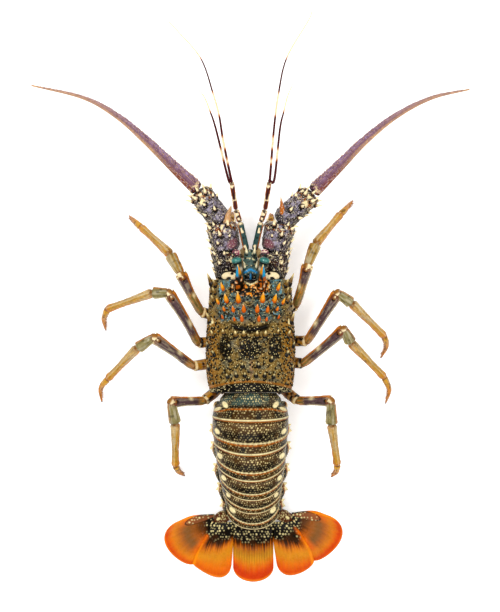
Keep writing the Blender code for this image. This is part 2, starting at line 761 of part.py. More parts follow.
def make_eye(label, side, carapace):
    """A glossy eyeball on its short stalk, rooted in the front of the carapace."""
    root = mirrored(EYE_ROOT, side)
    centre = mirrored(EYE_CENTRE, side)
    shape = bmesh.new()
    bmesh.ops.create_uvsphere(shape, u_segments=EYE_SEGMENTS, v_segments=EYE_RINGS, radius=1.0)
    for vertex in shape.verts:
        vertex.co = Vector(centre + np.array(vertex.co) * np.array(EYE_RADII) * MM)
    ball = mesh_from_bmesh(shape)
    path = np.array([root, (root + centre) / 2, centre])
    radii = np.array(EYE_STALK_RADII) * MM
    stalk = loft(tube_rings(path, radii, radii, EYE_STALK_SIDES))
    eye = combined(ball, [stalk], "UNION")
    return add_node(f"eye_{label}", cut_clear(eye, carapace), "eye")


def make_antenna(label, side):
    """Three thick spiny segments and a long tapering flagellum in two lengths."""
    joints = mirrored(PEDUNCLE_JOINTS[label], side)
    route = smooth_path(list(mirrored(FLAGELLUM_ROUTES[label], side)), FLAGELLUM_STATIONS)
    planes = directions(np.array([*joints, route[1]]))[:4]
    planes[0] = (0.0, -1.0, 0.0)
    shares = np.linspace(0, 1, PEDUNCLE_STATIONS)
    for i, part in enumerate(("base", "middle", "end")):
        start = joints[i] + planes[i] * (GAP if i == 0 else GAP / 2)
        end = joints[i + 1] - planes[i + 1] * GAP / 2
        path = start + np.outer(shares, end - start)
        widths, heights = (
            np.interp(shares, (0, 1), sizes[2 * i : 2 * i + 2]) * np.array(PEDUNCLE_SWELL) * MM
            for sizes in (PEDUNCLE_HALF_WIDTHS, PEDUNCLE_HALF_HEIGHTS)
        )
        normals = directions(path)
        normals[0] = planes[i]
        normals[-1] = planes[i + 1]
        segment = loft(tube_rings(path, widths, heights, PEDUNCLE_SIDES, normals))
        spines = peduncle_spines(path, widths, heights, side, PEDUNCLE_SPINES[i])
        add_node(f"antenna_{label}_{part}", combined(segment, spines, "UNION"), "antenna")
    add_flagellum(label, route, planes[3])


def peduncle_spines(path, widths, heights, side, places):
    """Spines on a segment, each at a share of its length and a turn round it."""
    length = np.linalg.norm(path[-1] - path[0])
    direction = (path[-1] - path[0]) / length
    across = np.cross(direction, (0.0, 0.0, 1.0))
    across /= np.linalg.norm(across)
    up = np.cross(across, direction)
    stations = np.linspace(0, 1, len(path))
    spines = []
    for share, turn, reach in places:
        angle = np.radians(turn)
        outward = np.cos(angle) * across * -side + np.sin(angle) * up
        width = np.interp(share, stations, widths)
        height = np.interp(share, stations, heights)
        radius = 1 / np.hypot(np.cos(angle) / width, np.sin(angle) / height)
        foot = path[0] + direction * length * share + outward * radius
        way = outward * PEDUNCLE_SPINE_OUTWARD + direction * PEDUNCLE_SPINE_FORWARD
        tip = foot + way * reach * MM
        spines.append(tapered_spine(foot - outward * SPINE_SINK, tip, PEDUNCLE_SPINE_RADIUS))
    return spines


def add_flagellum(label, route, first_plane):
    """The whip of an antenna, in two lengths that meet face to face."""
    shares = np.linspace(0, 1, len(route))
    radii = FLAGELLUM_TIP_RADIUS + (FLAGELLUM_RADIUS - FLAGELLUM_TIP_RADIUS) * (1 - shares)
    radii *= 1 + FLAGELLUM_FLARE * np.exp(-shares / FLAGELLUM_FLARE_SHARE)
    normals = directions(route)
    normals[0] = first_plane
    half = len(route) // 2
    for part, picked in (("inner", slice(0, half + 1)), ("outer", slice(half, None))):
        path = route[picked].copy()
        planes = normals[picked]
        path[0] += planes[0] * GAP / 2
        if part == "inner":
            path[-1] -= planes[-1] * GAP / 2
        rings = tube_rings(path, radii[picked], radii[picked], FLAGELLUM_SIDES, planes)
        add_node(f"flagellum_{label}_{part}", loft(rings), "flagellum")


def tapered_curve(points, radii, resolution=1):
    """A round tapering tube along points, as a curve turned into a welded mesh."""
    curve = bpy.data.curves.new("tube", "CURVE")
    curve.dimensions = "3D"
    curve.bevel_depth = 1.0
    curve.bevel_resolution = resolution
    curve.use_fill_caps = True
    spline = curve.splines.new("POLY")
    spline.points.add(len(points) - 1)
    for knot, point, radius in zip(spline.points, points, radii):
        knot.co = (*point, 1.0)
        knot.radius = radius
    tube = bpy.data.objects.new("tube", curve)
    bpy.context.scene.collection.objects.link(tube)
    graph = bpy.context.evaluated_depsgraph_get()
    mesh = bpy.data.meshes.new_from_object(tube.evaluated_get(graph))
    bpy.data.objects.remove(tube, do_unlink=True)
    shape = bmesh.new()
    shape.from_mesh(mesh)
    bmesh.ops.remove_doubles(shape, verts=shape.verts, dist=WELD)
    return mesh_from_bmesh(shape)


def make_antennule(label, side, plate):
    """The jointed stem of an antennule and its long and short whips."""
    stem_path = smooth_path(list(mirrored(ANTENNULE_STEM, side)), ANTENNULE_STEM_STATIONS)
    places = np.linspace(0, len(ANTENNULE_STEM) - 1, ANTENNULE_STEM_STATIONS)
    stem_radii = np.interp(places, range(len(ANTENNULE_STEM)), np.array(ANTENNULE_STEM_RADII) * MM)
    stem = tapered_curve(stem_path, stem_radii, 2)
    stem_part = add_node(f"antennule_{label}_stem", cut_clear(stem, plate), "antennule")
    for kind, routes, count in (
        ("long", ANTENNULE_LONG, ANTENNULE_LONG_STATIONS),
        ("short", ANTENNULE_SHORT, ANTENNULE_SHORT_STATIONS),
    ):
        path = smooth_path(list(mirrored(routes[label], side)), count)
        radii = np.linspace(ANTENNULE_WHIP_RADIUS, ANTENNULE_TIP_RADIUS, count)
        start = path[0] - directions(path)[0] * ANTENNULE_OVERLAP
        whip = tapered_curve([start, *path], [radii[0], *radii])
        add_node(f"antennule_{label}_{kind}", cut_clear(whip, stem_part), "antennule")


def sternum_half_width(y):
    share = (y - STERNUM_FRONT) / (STERNUM_REAR - STERNUM_FRONT)
    return STERNUM_FRONT_HALF_WIDTH + (STERNUM_REAR_HALF_WIDTH - STERNUM_FRONT_HALF_WIDTH) * share


def make_sternum():
    """The flat breastplate, wider towards the tail."""
    middle = (STERNUM_TOP + STERNUM_BOTTOM) / 2
    half = (STERNUM_TOP - STERNUM_BOTTOM) / 2
    turns = np.linspace(0, 2 * np.pi, STERNUM_SIDES, endpoint=False)
    across = np.sign(np.cos(turns)) * np.abs(np.cos(turns)) ** STERNUM_POWER
    up = np.sign(np.sin(turns)) * np.abs(np.sin(turns)) ** STERNUM_POWER * half
    rings = []
    for y in np.linspace(STERNUM_FRONT, STERNUM_REAR, STERNUM_STATIONS):
        reach = across * sternum_half_width(y)
        rings.append(np.column_stack([reach, np.full_like(across, y), middle + up]))
    return add_node("sternum", loft(rings), "belly")


def make_leg(name, sternum):
    """A leg in two lengths: root to knee, and knee to the tip on the floor."""
    number = int(name.split("_")[1])
    side = 1 if name.endswith("left") else -1
    joints = np.column_stack([LEG_PLANS[name], LEG_HEIGHTS[number - 1]]) * MM
    ischium, thigh, knee, wrist, ankle, claw, tip = joints
    root_y = LEG_ROOT_Y[number - 1] * MM
    root = np.array((side * (sternum_half_width(root_y) - LEG_ROOT_SINK), root_y, LEG_ROOT_HEIGHT))
    coxa = root + (ischium - root) * np.array(LEG_COXA_SHARES)
    upper_path = np.array([root, coxa, ischium, thigh, knee])
    lower_path = np.array([knee, (knee + wrist) / 2, wrist, (wrist + ankle) / 2, ankle, claw, tip])
    plane = directions(np.array([thigh, knee, wrist]))[1]
    upper_path[-1] -= plane * GAP / 2
    lower_path[0] += plane * GAP / 2
    radii = np.array(LEG_UPPER_RADII) * MM
    planes = directions(upper_path)
    planes[-1] = plane
    upper = loft(tube_rings(upper_path, radii, radii * LEG_HEIGHT_RATIO, LEG_SIDES, planes))
    if number > 1:
        upper = combined(upper, [knee_spine(thigh, knee, radii[-1])], "UNION")
    add_node(f"{name}_upper", cut_clear(upper, sternum), "leg")
    radii = np.array(LEG_LOWER_RADII) * MM
    planes = directions(lower_path)
    planes[0] = plane
    rings = tube_rings(lower_path, radii, radii * LEG_HEIGHT_RATIO, LEG_SIDES, planes)
    rings[-1] = foot_ring(rings[-2], tip)
    add_node(f"{name}_lower", loft(rings), "leg")


def knee_spine(thigh, knee, radius):
    """The spine on top of a knee, which points on along the leg."""
    along = (knee - thigh) / np.linalg.norm(knee - thigh)
    across = np.cross(along, (0.0, 0.0, 1.0))
    up = np.cross(across / np.linalg.norm(across), along)
    middle = thigh + (knee - thigh) * KNEE_SPINE_SHARE
    foot = middle + up * radius
    tip = foot + (along + up * KNEE_SPINE_RISE) * KNEE_SPINE_LENGTH
    return tapered_spine(foot - up * SPINE_SINK, tip, KNEE_SPINE_RADIUS)


def foot_ring(ring_above, tip):
    """A small level ring on the floor, its points in step with the ring above it."""
    flat = (ring_above - ring_above.mean(axis=0))[:, :2]
    following = np.roll(flat, -1, axis=0)
    way = np.sign(np.sum(flat[:, 0] * following[:, 1] - flat[:, 1] * following[:, 0]))
    turns = np.linspace(0, 2 * np.pi, len(flat), endpoint=False)
    angles = np.arctan2(flat[0, 1], flat[0, 0]) + way * turns
    across = tip[0] + FOOT_FLAT * np.cos(angles)
    along = tip[1] + FOOT_FLAT * np.sin(angles)
    return np.column_stack([across, along, np.zeros(len(flat))])


def make_maxilliped(label, side, sternum):
    """A mouth leg folded under the head."""
    path = smooth_path(list(mirrored(MAXILLIPED_PATH, side)), MAXILLIPED_STATIONS)
    places = np.linspace(0, len(MAXILLIPED_PATH) - 1, MAXILLIPED_STATIONS)
    radii = np.interp(places, range(len(MAXILLIPED_PATH)), np.array(MAXILLIPED_RADII) * MM)
    limb = loft(tube_rings(path, radii * MAXILLIPED_WIDTH_RATIO, radii, LEG_SIDES))
    return add_node(f"maxilliped_{label}", cut_clear(limb, sternum), "leg")


def drifted(points):
    """The points moved a little to the right, more towards the tail."""
    points = np.array(points, float)
    share = np.clip((points[..., 1] - TAIL_DRIFT_FROM) / TAIL_DRIFT_OVER, 0, 1)
    points[..., 0] += TAIL_DRIFT * share**2 * (3 - 2 * share)
    return points


def abdomen_ring(place, scale=1.0):
    """The section of the abdomen at a place counted in planes from the carapace."""
    table = np.array(ABDOMEN_PLANES)
    top_y, top_z, tilt, half_width, height, depth = (
        np.interp(place, range(len(table)), column) for column in table.T
    )
    tilt = np.radians(tilt)
    up = np.array((0.0, np.sin(tilt), np.cos(tilt)))
    centre = np.array((0.0, top_y, top_z)) * MM - up * height * MM
    across, rise = oval_section(half_width * MM * scale, height * MM * scale, depth * MM, SOMITE_SIDES)
    ring = centre + np.outer(across, (1.0, 0.0, 0.0)) + np.outer(rise, up)
    return drifted(ring)


def abdomen_axis(place):
    """The way that the abdomen runs at a place, square to its section."""
    tilt = np.radians(np.interp(place, range(len(ABDOMEN_PLANES)), np.array(ABDOMEN_PLANES)[:, 2]))
    return np.array((0.0, np.cos(tilt), -np.sin(tilt)))


def make_somite(number):
    """One ring of the abdomen, with its side spikes and the flaps below it."""
    rings = []
    for station, scale in zip(SOMITE_STATIONS, SOMITE_SCALES):
        place = number - 1 + station
        ring = abdomen_ring(place, scale)
        if station == SOMITE_STATIONS[0]:
            ring = ring + abdomen_axis(place) * GAP / 2
        if station == SOMITE_STATIONS[-1]:
            ring = ring - abdomen_axis(place) * GAP / 2
        rings.append(ring)
    forms = []
    up = np.cross((1.0, 0.0, 0.0), abdomen_axis(number - 0.5))
    length = PLEURON_ROOT_LENGTHS[number - 1] * MM
    for side in (1, -1):
        end = drifted(mirrored(PLEURON_TIPS[number - 1], side))
        root = end + PLEURON_LENGTH * up - np.array((side * PLEURON_SPLAY, 0.0, 0.0))
        forms.append(pleuron(root, end, length))
        if number in PLEOPOD_SOMITES:
            forms.append(pleopod(number, side))
    return add_node(f"abdomen_{number}", combined(loft(rings), forms, "UNION"), "abdomen")


def pleuron(root, tip, length):
    """The spike at the side of a ring: long at its root, narrow at its tip."""
    turns = np.linspace(0, 2 * np.pi, PLEURON_SIDES, endpoint=False)
    rings = []
    for share in PLEURON_SHARES:
        thin, long = (
            size * (1 - share) + PLEURON_TIP_RADIUS * share for size in (PLEURON_THICKNESS, length)
        )
        offsets = np.column_stack([thin * np.cos(turns), long * np.sin(turns), np.zeros(PLEURON_SIDES)])
        rings.append(root + (tip - root) * share + offsets)
    return loft(rings)


def pleopod(number, side):
    """A thin leaf-shaped flap that hangs below a ring of the abdomen."""
    section = abdomen_ring(number - PLEOPOD_PLACE)
    lowest = section[np.argmin(section[:, 2])]
    root = drifted((side * PLEOPOD_OFFSET, lowest[1], lowest[2] + PLEOPOD_SINK))
    hang = min(PLEOPOD_HANG, root[2] - PLEOPOD_FLOOR)
    tip = root + np.array((side * PLEOPOD_SPLAY, PLEOPOD_SWEEP, -hang))
    path = np.array([root, (root + tip) / 2, tip])
    return loft(tube_rings(path, PLEOPOD_HALF_WIDTHS, PLEOPOD_HALF_THICKNESSES, PLEURON_SIDES))


def blade_points(inner, outer, bow, lean, rays, root_height):
    """Upper and lower grids of a blade: rows from hinge to edge, columns across."""
    u = np.linspace(0, 1, FAN_ROWS)[:, None]
    across = -np.cos(np.linspace(0, np.pi, 2 * rays + 1))
    edges = [
        smooth_path([np.array((*point, 0.0)) * MM for point in edge], FAN_ROWS)
        for edge in (inner, outer)
    ]
    share = (1 + across)[:, None] / 2
    plan = edges[0][:, None] * (1 - share) + edges[1][:, None] * share
    chord = edges[1][-1] - edges[0][-1]
    beyond = np.cross(chord, (0.0, 0.0, 1.0)) / np.linalg.norm(chord)
    beyond *= np.sign(beyond @ (edges[0][-1] - edges[0][0]))
    reach = bow * MM * np.sqrt(1 - across**2) * (1 + lean * across)
    plan += u[:, :, None] * reach[:, None] * beyond
    fall = np.clip(1 - u / FAN_FLAT_FROM, 0, 1)
    floor = root_height * fall**2 * (3 - 2 * fall) * np.ones_like(across)
    thin = np.clip(1 - u / FAN_THIN_FROM, 0, 1) ** FAN_THINNING
    thick = FAN_EDGE_THICKNESS + (FAN_ROOT_THICKNESS - FAN_EDGE_THICKNESS) * thin
    ridges = FAN_RIDGE * (np.arange(2 * rays + 1) % 2) * np.minimum(u / FAN_RIDGES_FROM, 1)
    lower = plan.copy()
    lower[..., 2] = floor
    upper = plan.copy()
    upper[..., 2] = floor + thick + ridges
    return upper, lower


def closed_sheet(top, bottom):
    """A closed blade between two grids whose triangles run alike on both faces."""
    shape = bmesh.new()
    rows, columns = top.shape[:2]
    upper = [[shape.verts.new(point) for point in row] for row in top]
    lower = [[shape.verts.new(point) for point in row] for row in bottom]
    for grid in (upper, lower):
        for i in range(rows - 1):
            for j in range(columns - 1):
                shape.faces.new((grid[i][j], grid[i + 1][j], grid[i + 1][j + 1]))
                shape.faces.new((grid[i][j], grid[i + 1][j + 1], grid[i][j + 1]))
    rim = [(0, j) for j in range(columns)]
    rim += [(i, columns - 1) for i in range(1, rows)]
    rim += [(rows - 1, j) for j in range(columns - 2, -1, -1)]
    rim += [(i, 0) for i in range(rows - 2, 0, -1)]
    for (i, j), (k, m) in zip(rim, rim[1:] + rim[:1]):
        shape.faces.new((upper[i][j], upper[k][m], lower[k][m]))
        shape.faces.new((upper[i][j], lower[k][m], lower[i][j]))
    return mesh_from_bmesh(shape)


def make_tail_fan(last_somite):
    """The telson and the four blades beside it, spread flat on the floor."""
    telson = closed_sheet(*blade_points(*FAN_BLADES["telson"], TELSON_ROOT_HEIGHT))
    telson_part = add_node("telson", cut_clear(telson, last_somite), "fan")
    widths = np.array(PROTOPOD_HALF_WIDTHS) * MM
    heights = np.array(PROTOPOD_HALF_HEIGHTS) * MM
    for label in ("left", "right"):
        endopod = closed_sheet(*blade_points(*FAN_BLADES[f"endopod_{label}"], UROPOD_ROOT_HEIGHT))
        exopod = closed_sheet(*blade_points(*FAN_BLADES[f"exopod_{label}"], UROPOD_ROOT_HEIGHT))
        path = np.array(PROTOPOD_PATHS[label]) * MM
        protopod = loft(tube_rings(path, widths, heights, PROTOPOD_SIDES))
        exopod = cut_clear(combined(exopod, [protopod], "UNION"), last_somite)
        exopod_part = add_node(f"uropod_{label}_outer", exopod, "fan")
        for neighbour in (exopod_part, telson_part, last_somite):
            endopod = cut_clear(endopod, neighbour)
        add_node(f"uropod_{label}_inner", endopod, "fan")


clear_scene()
PARTS = new_collection("spiny_lobster")
carapace_part = make_carapace()
plate_part = make_antennular_plate()
sternum_part = make_sternum()
for side_label, side_sign in (("left", 1), ("right", -1)):
    make_eye(side_label, side_sign, carapace_part)
    make_antenna(side_label, side_sign)
    make_antennule(side_label, side_sign, plate_part)
    make_maxilliped(side_label, side_sign, sternum_part)
for leg_name in LEG_PLANS:
    make_leg(leg_name, sternum_part)
somites = [make_somite(number) for number in range(1, 7)]
make_tail_fan(somites[-1])
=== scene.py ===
# %% [markdown]
# # A spiny lobster, from plain solids to a museum model
# The solids give the place and the size of every part. Each cell below makes one
# part again as a fine surface, paints it, and lets it stand for its solid. All
# shapes are worked out in millimetres and turned into metres when a mesh is made.

# %% Load the frame
import functools

import bpy
import numpy as np
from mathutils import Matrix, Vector


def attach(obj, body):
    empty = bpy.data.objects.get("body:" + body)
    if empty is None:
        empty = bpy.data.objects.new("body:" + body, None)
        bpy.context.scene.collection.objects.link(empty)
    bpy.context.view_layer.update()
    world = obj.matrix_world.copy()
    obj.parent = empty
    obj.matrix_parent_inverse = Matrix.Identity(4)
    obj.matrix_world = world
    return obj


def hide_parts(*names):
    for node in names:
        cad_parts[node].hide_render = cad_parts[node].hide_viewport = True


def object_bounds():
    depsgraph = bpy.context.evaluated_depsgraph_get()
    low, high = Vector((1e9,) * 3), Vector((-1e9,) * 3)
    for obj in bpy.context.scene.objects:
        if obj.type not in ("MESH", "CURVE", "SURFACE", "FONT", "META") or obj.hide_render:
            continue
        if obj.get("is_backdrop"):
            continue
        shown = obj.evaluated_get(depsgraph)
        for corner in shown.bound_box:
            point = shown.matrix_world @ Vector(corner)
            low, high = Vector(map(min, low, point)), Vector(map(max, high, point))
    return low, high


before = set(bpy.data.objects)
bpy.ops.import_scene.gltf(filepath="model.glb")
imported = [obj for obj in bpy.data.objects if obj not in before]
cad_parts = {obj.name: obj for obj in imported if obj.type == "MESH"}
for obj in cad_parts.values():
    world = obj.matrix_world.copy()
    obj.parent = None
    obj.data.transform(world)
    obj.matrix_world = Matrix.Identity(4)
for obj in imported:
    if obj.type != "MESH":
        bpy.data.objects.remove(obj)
cad_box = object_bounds()
MM = 0.001
print(len(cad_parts), "solids in the frame")

# %% [markdown]
# ## Camera
# The animal was seen from straight above, with its head at the top. A very long
# lens keeps the tall parts from leaning outward. One pixel of the picture is
# 0.75 mm at mid height, and the picture's own middle sets where the camera is.

# %% Camera
PIXEL = 0.75
PICTURE_WIDTH = 500
PICTURE_HEIGHT = 612
MIDLINE_PIXEL = 250.5
ORIGIN_PIXEL = 297.0
LENS = 800.0
SENSOR = 36.0
FOCUS_HEIGHT = 35.0

camera_data = bpy.data.cameras.new("camera")
camera_data.lens = LENS
camera_data.sensor_width = SENSOR
camera = bpy.data.objects.new("camera", camera_data)
bpy.context.scene.collection.objects.link(camera)
camera_height = LENS / SENSOR * PICTURE_HEIGHT * PIXEL + FOCUS_HEIGHT
camera.location = (
    (MIDLINE_PIXEL - PICTURE_WIDTH / 2) * PIXEL * MM,
    (PICTURE_HEIGHT / 2 - ORIGIN_PIXEL) * PIXEL * MM,
    camera_height * MM,
)
camera.rotation_euler = (0.0, 0.0, np.pi)
camera_data.clip_end = 4 * camera_height * MM
bpy.context.scene.camera = camera
print("camera", round(camera_height * MM, 2), "m above the floor")

# %% [markdown]
# ## Array tools
# Markings and relief need two simple things: an S-curve that switches softly
# between 0 and 1, and a smooth random field. Both work on whole arrays.

# %% Soft steps and random fields
LATTICE = 64
LATTICE_MIDDLE = 320.5


def soft(low, high, value):
    """0 at low, 1 at high and an S-curve between them, also when low is above high."""
    t = np.clip((value - low) / (high - low), 0, 1)
    return t * t * (3 - 2 * t)


def field(x, y, size, seed):
    """A smooth random field from 0 to 1: seeded values on a lattice, blended by S-curves."""
    lattice = np.random.default_rng(seed).random((LATTICE, LATTICE))
    u, v = np.asarray(x) / size + LATTICE_MIDDLE, np.asarray(y) / size + LATTICE_MIDDLE
    i, j = np.floor(u).astype(int), np.floor(v).astype(int)
    a, b = soft(0, 1, u - i), soft(0, 1, v - j)
    near, far = (
        lattice[i % LATTICE, k % LATTICE] * (1 - a) + lattice[(i + 1) % LATTICE, k % LATTICE] * a
        for k in (j, j + 1)
    )
    return near * (1 - b) + far * b


def spot(x, y, centre, radii, edge=0.25):
    """1 inside an ellipse and 0 outside it, with a soft rim."""
    away = np.hypot((x - centre[0]) / radii[0], (y - centre[1]) / radii[1])
    return soft(1 + edge, 1 - edge, away)


def bell(value, middle, width):
    """A bell curve of height 1 about a middle value."""
    return np.exp(-(((value - middle) / width) ** 2))


def most(*masks):
    """The greatest of several masks at each point."""
    return functools.reduce(np.maximum, masks)


print("a soft step goes", soft(0, 1, np.linspace(0, 1, 5)))

# %% [markdown]
# ## From grids to meshes
# A surface is a grid of points, one row for each step along it. Squares join
# the rows, and a fan closes each end. Masks are numbers from 0 to 1 kept at
# each point, which the finishes read to place their colours. Parts are turned
# outward by the sign of the volume that they enclose.

# %% Parts of a mesh


def part(points, quads, tris, masks):
    """Points, faces and masks of one closed surface, with its faces turned outward."""
    points = points.reshape(-1, 3)
    triangles = np.concatenate([quads[:, :3], quads[:, [0, 2, 3]], tris])
    corners = points[triangles] - points.mean(axis=0)
    if np.linalg.det(corners).sum() < 0:
        quads, tris = quads[:, ::-1], tris[:, ::-1]
    return points, quads, tris, {name: np.clip(mask, 0, 1).reshape(-1) for name, mask in masks.items()}


def rings_joined(rows, columns):
    """The squares between closed rings, and a fan that shuts each end about a point of its own."""
    i, j = np.meshgrid(np.arange(rows - 1), np.arange(columns), indexing="ij")
    k = (j + 1) % columns
    quads = np.stack([i * columns + j, i * columns + k, (i + 1) * columns + k, (i + 1) * columns + j], -1)
    count = rows * columns
    last, j, k = count - columns, j[0], k[0]
    start = np.stack([np.full(columns, count), k, j], -1)
    end = np.stack([np.full(columns, count + 1), last + j, last + k], -1)
    return quads.reshape(-1, 4), np.concatenate([start, end])


def tube(points, **masks):
    """A closed surface over rings, with a fan about the middle of the first and last ring."""
    rows, columns = points.shape[:2]
    flat = np.concatenate([points.reshape(-1, 3), points[:1].mean(axis=1), points[-1:].mean(axis=1)])
    for name, mask in masks.items():
        mask = np.clip(np.broadcast_to(mask, (rows, columns)), 0, 1)
        masks[name] = np.concatenate([mask.reshape(-1), [mask[0].mean(), mask[-1].mean()]])
    return part(flat, *rings_joined(rows, columns), masks)


def sheet(upper, lower, **masks):
    """A thin closed sheet between an upper and a lower grid of points."""
    rows, columns = upper.shape[:2]
    size = rows * columns
    i, j = np.meshgrid(np.arange(rows - 1), np.arange(columns - 1), indexing="ij")
    first = i * columns + j
    top = np.stack([first, first + columns, first + columns + 1, first + 1], -1).reshape(-1, 4)
    bottom = top[:, ::-1] + size
    index = np.arange(size).reshape(rows, columns)
    rim = np.concatenate([index[0, :-1], index[:-1, -1], index[-1, :0:-1], index[:0:-1, 0]])
    after = np.roll(rim, -1)
    side = np.stack([rim, after, after + size, rim + size], -1)
    masks = {name: np.stack([np.broadcast_to(mask, (rows, columns))] * 2) for name, mask in masks.items()}
    return part(np.stack([upper, lower]), np.concatenate([top, bottom, side]), np.zeros((0, 3), int), masks)


def around(count):
    """Even turns of a full circle, in radians."""
    return np.linspace(0, 2 * np.pi, count, endpoint=False)


def unit(vectors):
    """The vectors made one long."""
    return vectors / np.maximum(np.linalg.norm(vectors, axis=-1, keepdims=True), 1e-9)


def studs(feet, ways, lengths, radii, profile, sides=6, bend=(0.0, 0.0, 0.0), **masks):
    """Many small turned forms at once, such as spines and granules.

    Each stands on its foot along its way. The profile gives shares of the length and of
    the radius from root to tip, and the bend moves the tip aside by shares of the length.
    A mask is one number for each form, or (low, high, numbers) to run along its length.
    """
    feet, ways = np.atleast_2d(feet), unit(np.atleast_2d(ways))
    count = len(feet)
    lengths, radii = np.broadcast_to(lengths, count), np.broadcast_to(radii, count)
    shares, widths = np.array(profile, float).T
    side = unit(np.cross(ways, (0.31, 0.17, 0.93)))
    other = np.cross(ways, side)
    turns = around(sides)
    circle = np.cos(turns)[:, None] * side[:, None] + np.sin(turns)[:, None] * other[:, None]
    spine = ways[:, None] * shares[:, None] + np.array(bend) * np.clip(shares, 0, 1)[:, None] ** 2
    middle = feet[:, None] + spine * lengths[:, None, None]
    rings = middle[:, :, None] + circle[:, None] * (radii[:, None] * widths)[:, :, None, None]
    rings = rings[:, :-1].reshape(count, -1, 3)
    points = np.concatenate([rings, middle[:, :1], middle[:, -1:]], axis=1)
    quads, tris = rings_joined(len(shares) - 1, sides)
    total = points.shape[1]
    step = (np.arange(count) * total)[:, None, None]
    share = np.concatenate([np.repeat(shares[:-1], sides), shares[:1], shares[-1:]])
    for name, mask in masks.items():
        low, high, weight = mask if isinstance(mask, tuple) else (None, None, mask)
        run = np.ones(total) if low is None else soft(low, high, share)
        masks[name] = np.broadcast_to(weight, count)[:, None] * run
    return part(points, (quads + step).reshape(-1, 4), (tris + step).reshape(-1, 3), masks)


print("a tube of 3 rings has", len(tube(np.random.default_rng(0).random((3, 4, 3)))[1]), "squares")

# %% Finished pieces


def piece(name, parts, finish, nodes=()):
    """Joins parts into one mesh in metres, which rides on the body and stands for its nodes."""
    points = np.concatenate([p[0] for p in parts]) * MM
    starts = np.cumsum([0] + [len(p[0]) for p in parts])
    quads = np.concatenate([p[1] + start for p, start in zip(parts, starts)])
    tris = np.concatenate([p[2] + start for p, start in zip(parts, starts)])
    mesh = bpy.data.meshes.new(name)
    mesh.vertices.add(len(points))
    mesh.vertices.foreach_set("co", points.astype(np.float32).ravel())
    corners = np.concatenate([quads.ravel(), tris.ravel()])
    mesh.loops.add(len(corners))
    mesh.loops.foreach_set("vertex_index", corners.astype(np.int32))
    loop_starts = np.concatenate([np.arange(len(quads)) * 4, len(quads) * 4 + np.arange(len(tris)) * 3])
    mesh.polygons.add(len(loop_starts))
    mesh.polygons.foreach_set("loop_start", loop_starts.astype(np.int32))
    mesh.update(calc_edges=True)
    mesh.shade_smooth()
    for mask in sorted({key for p in parts for key in p[3]}):
        values = np.concatenate([p[3].get(mask, np.zeros(len(p[0]))) for p in parts])
        mesh.attributes.new(mask, "FLOAT", "POINT").data.foreach_set("value", values.astype(np.float32))
    mesh.materials.append(finish)
    made = bpy.data.objects.new(name, mesh)
    bpy.context.scene.collection.objects.link(made)
    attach(made, "root")
    if nodes:
        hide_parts(*nodes)
    print(name, "has", 2 * len(quads) + len(tris), "triangles")
    return made


# %% [markdown]
# ## Paths and limbs
# Legs, feelers and spines are profiles carried along a path. The path runs
# smoothly through a few named points, and its rings stand square to it with
# their widths level, so left and right sides match.

# %% Carrying a ring along a path


def through(points, count):
    """A smooth curve of count points through the given ones, as a Catmull-Rom spline."""
    points = np.asarray(points, float)
    knots = np.concatenate([[2 * points[0] - points[1]], points, [2 * points[-1] - points[-2]]])
    places = np.linspace(0, len(points) - 1, count)
    span = np.minimum(places.astype(int), len(points) - 2)
    t = (places - span).reshape(-1, *[1] * (points.ndim - 1))
    a, b, c, d = (knots[span + i] for i in range(4))
    return 0.5 * (2 * b + (c - a) * t + (2 * a - 5 * b + 4 * c - d) * t**2 + (3 * b - a - 3 * c + d) * t**3)


def frames(path):
    """For each point of a path: its direction, its level side and its upper side."""
    along = unit(np.gradient(path, axis=0))
    side = unit(np.cross(along, (0.0, 0.0, 1.0)))
    return along, side, np.cross(side, along)


def carried(path, widths, heights, turns, relief=0.0):
    """Elliptical rings along a path, each point moved out by the relief in millimetres."""
    _, side, up = frames(path)
    widths, heights = (np.asarray(size).reshape(len(path), -1) + relief for size in (widths, heights))
    across = (widths * np.cos(turns))[..., None] * side[:, None]
    return path[:, None] + across + (heights * np.sin(turns))[..., None] * up[:, None]


def rounded(t, first=0.06, last=0.06):
    """Shares of the radius along a limb whose two ends close in a quarter circle."""
    start = np.sqrt(np.clip(1 - np.clip(1 - t / first, 0, 1) ** 2, 0, 1))
    return start * np.sqrt(np.clip(1 - np.clip(1 - (1 - t) / last, 0, 1) ** 2, 0, 1))


def far_along(path):
    """How far along a path each of its points lies, as a column in millimetres."""
    return np.concatenate([[0], np.cumsum(np.linalg.norm(np.diff(path, axis=0), axis=1))])[:, None]


print("a curve through 2 corners bends by way of", through([(0, 0, 0), (1, 0, 0), (1, 1, 0)], 5)[1].round(2))

# %% [markdown]
# ## Finishes
# Every hard surface of the animal is glossy chitin: one ground colour, then
# layers of colour where the masks say, then a fine mottle, small specks and a
# grain. Mottle and specks are the same everywhere except for size, so each is
# a node group that is built once. The groups give out only masks and values.

# %% Node tools


def colour(code):
    """A colour from its usual six-digit code, turned into linear light."""
    channels = np.array([int(code[i : i + 2], 16) / 255 for i in (0, 2, 4)])
    linear = np.where(channels <= 0.04045, channels / 12.92, ((channels + 0.055) / 1.055) ** 2.4)
    return (*linear.tolist(), 1.0)


def put(tree, kind, settings, inputs):
    """Adds a node with its settings, and with inputs that are values or other nodes' outputs."""
    made = tree.nodes.new("ShaderNode" + kind)
    for key, value in settings.items():
        setattr(made, key, value)
    for key, value in inputs.items():
        socket = made.inputs[key]
        if isinstance(value, bpy.types.NodeSocket):
            tree.links.new(value, socket)
        else:
            socket.default_value = value
    return made.outputs


def maths(tree, operation, first, second):
    """One arithmetic node on two values or sockets."""
    return put(tree, "Math", {"operation": operation}, {0: first, 1: second})[0]


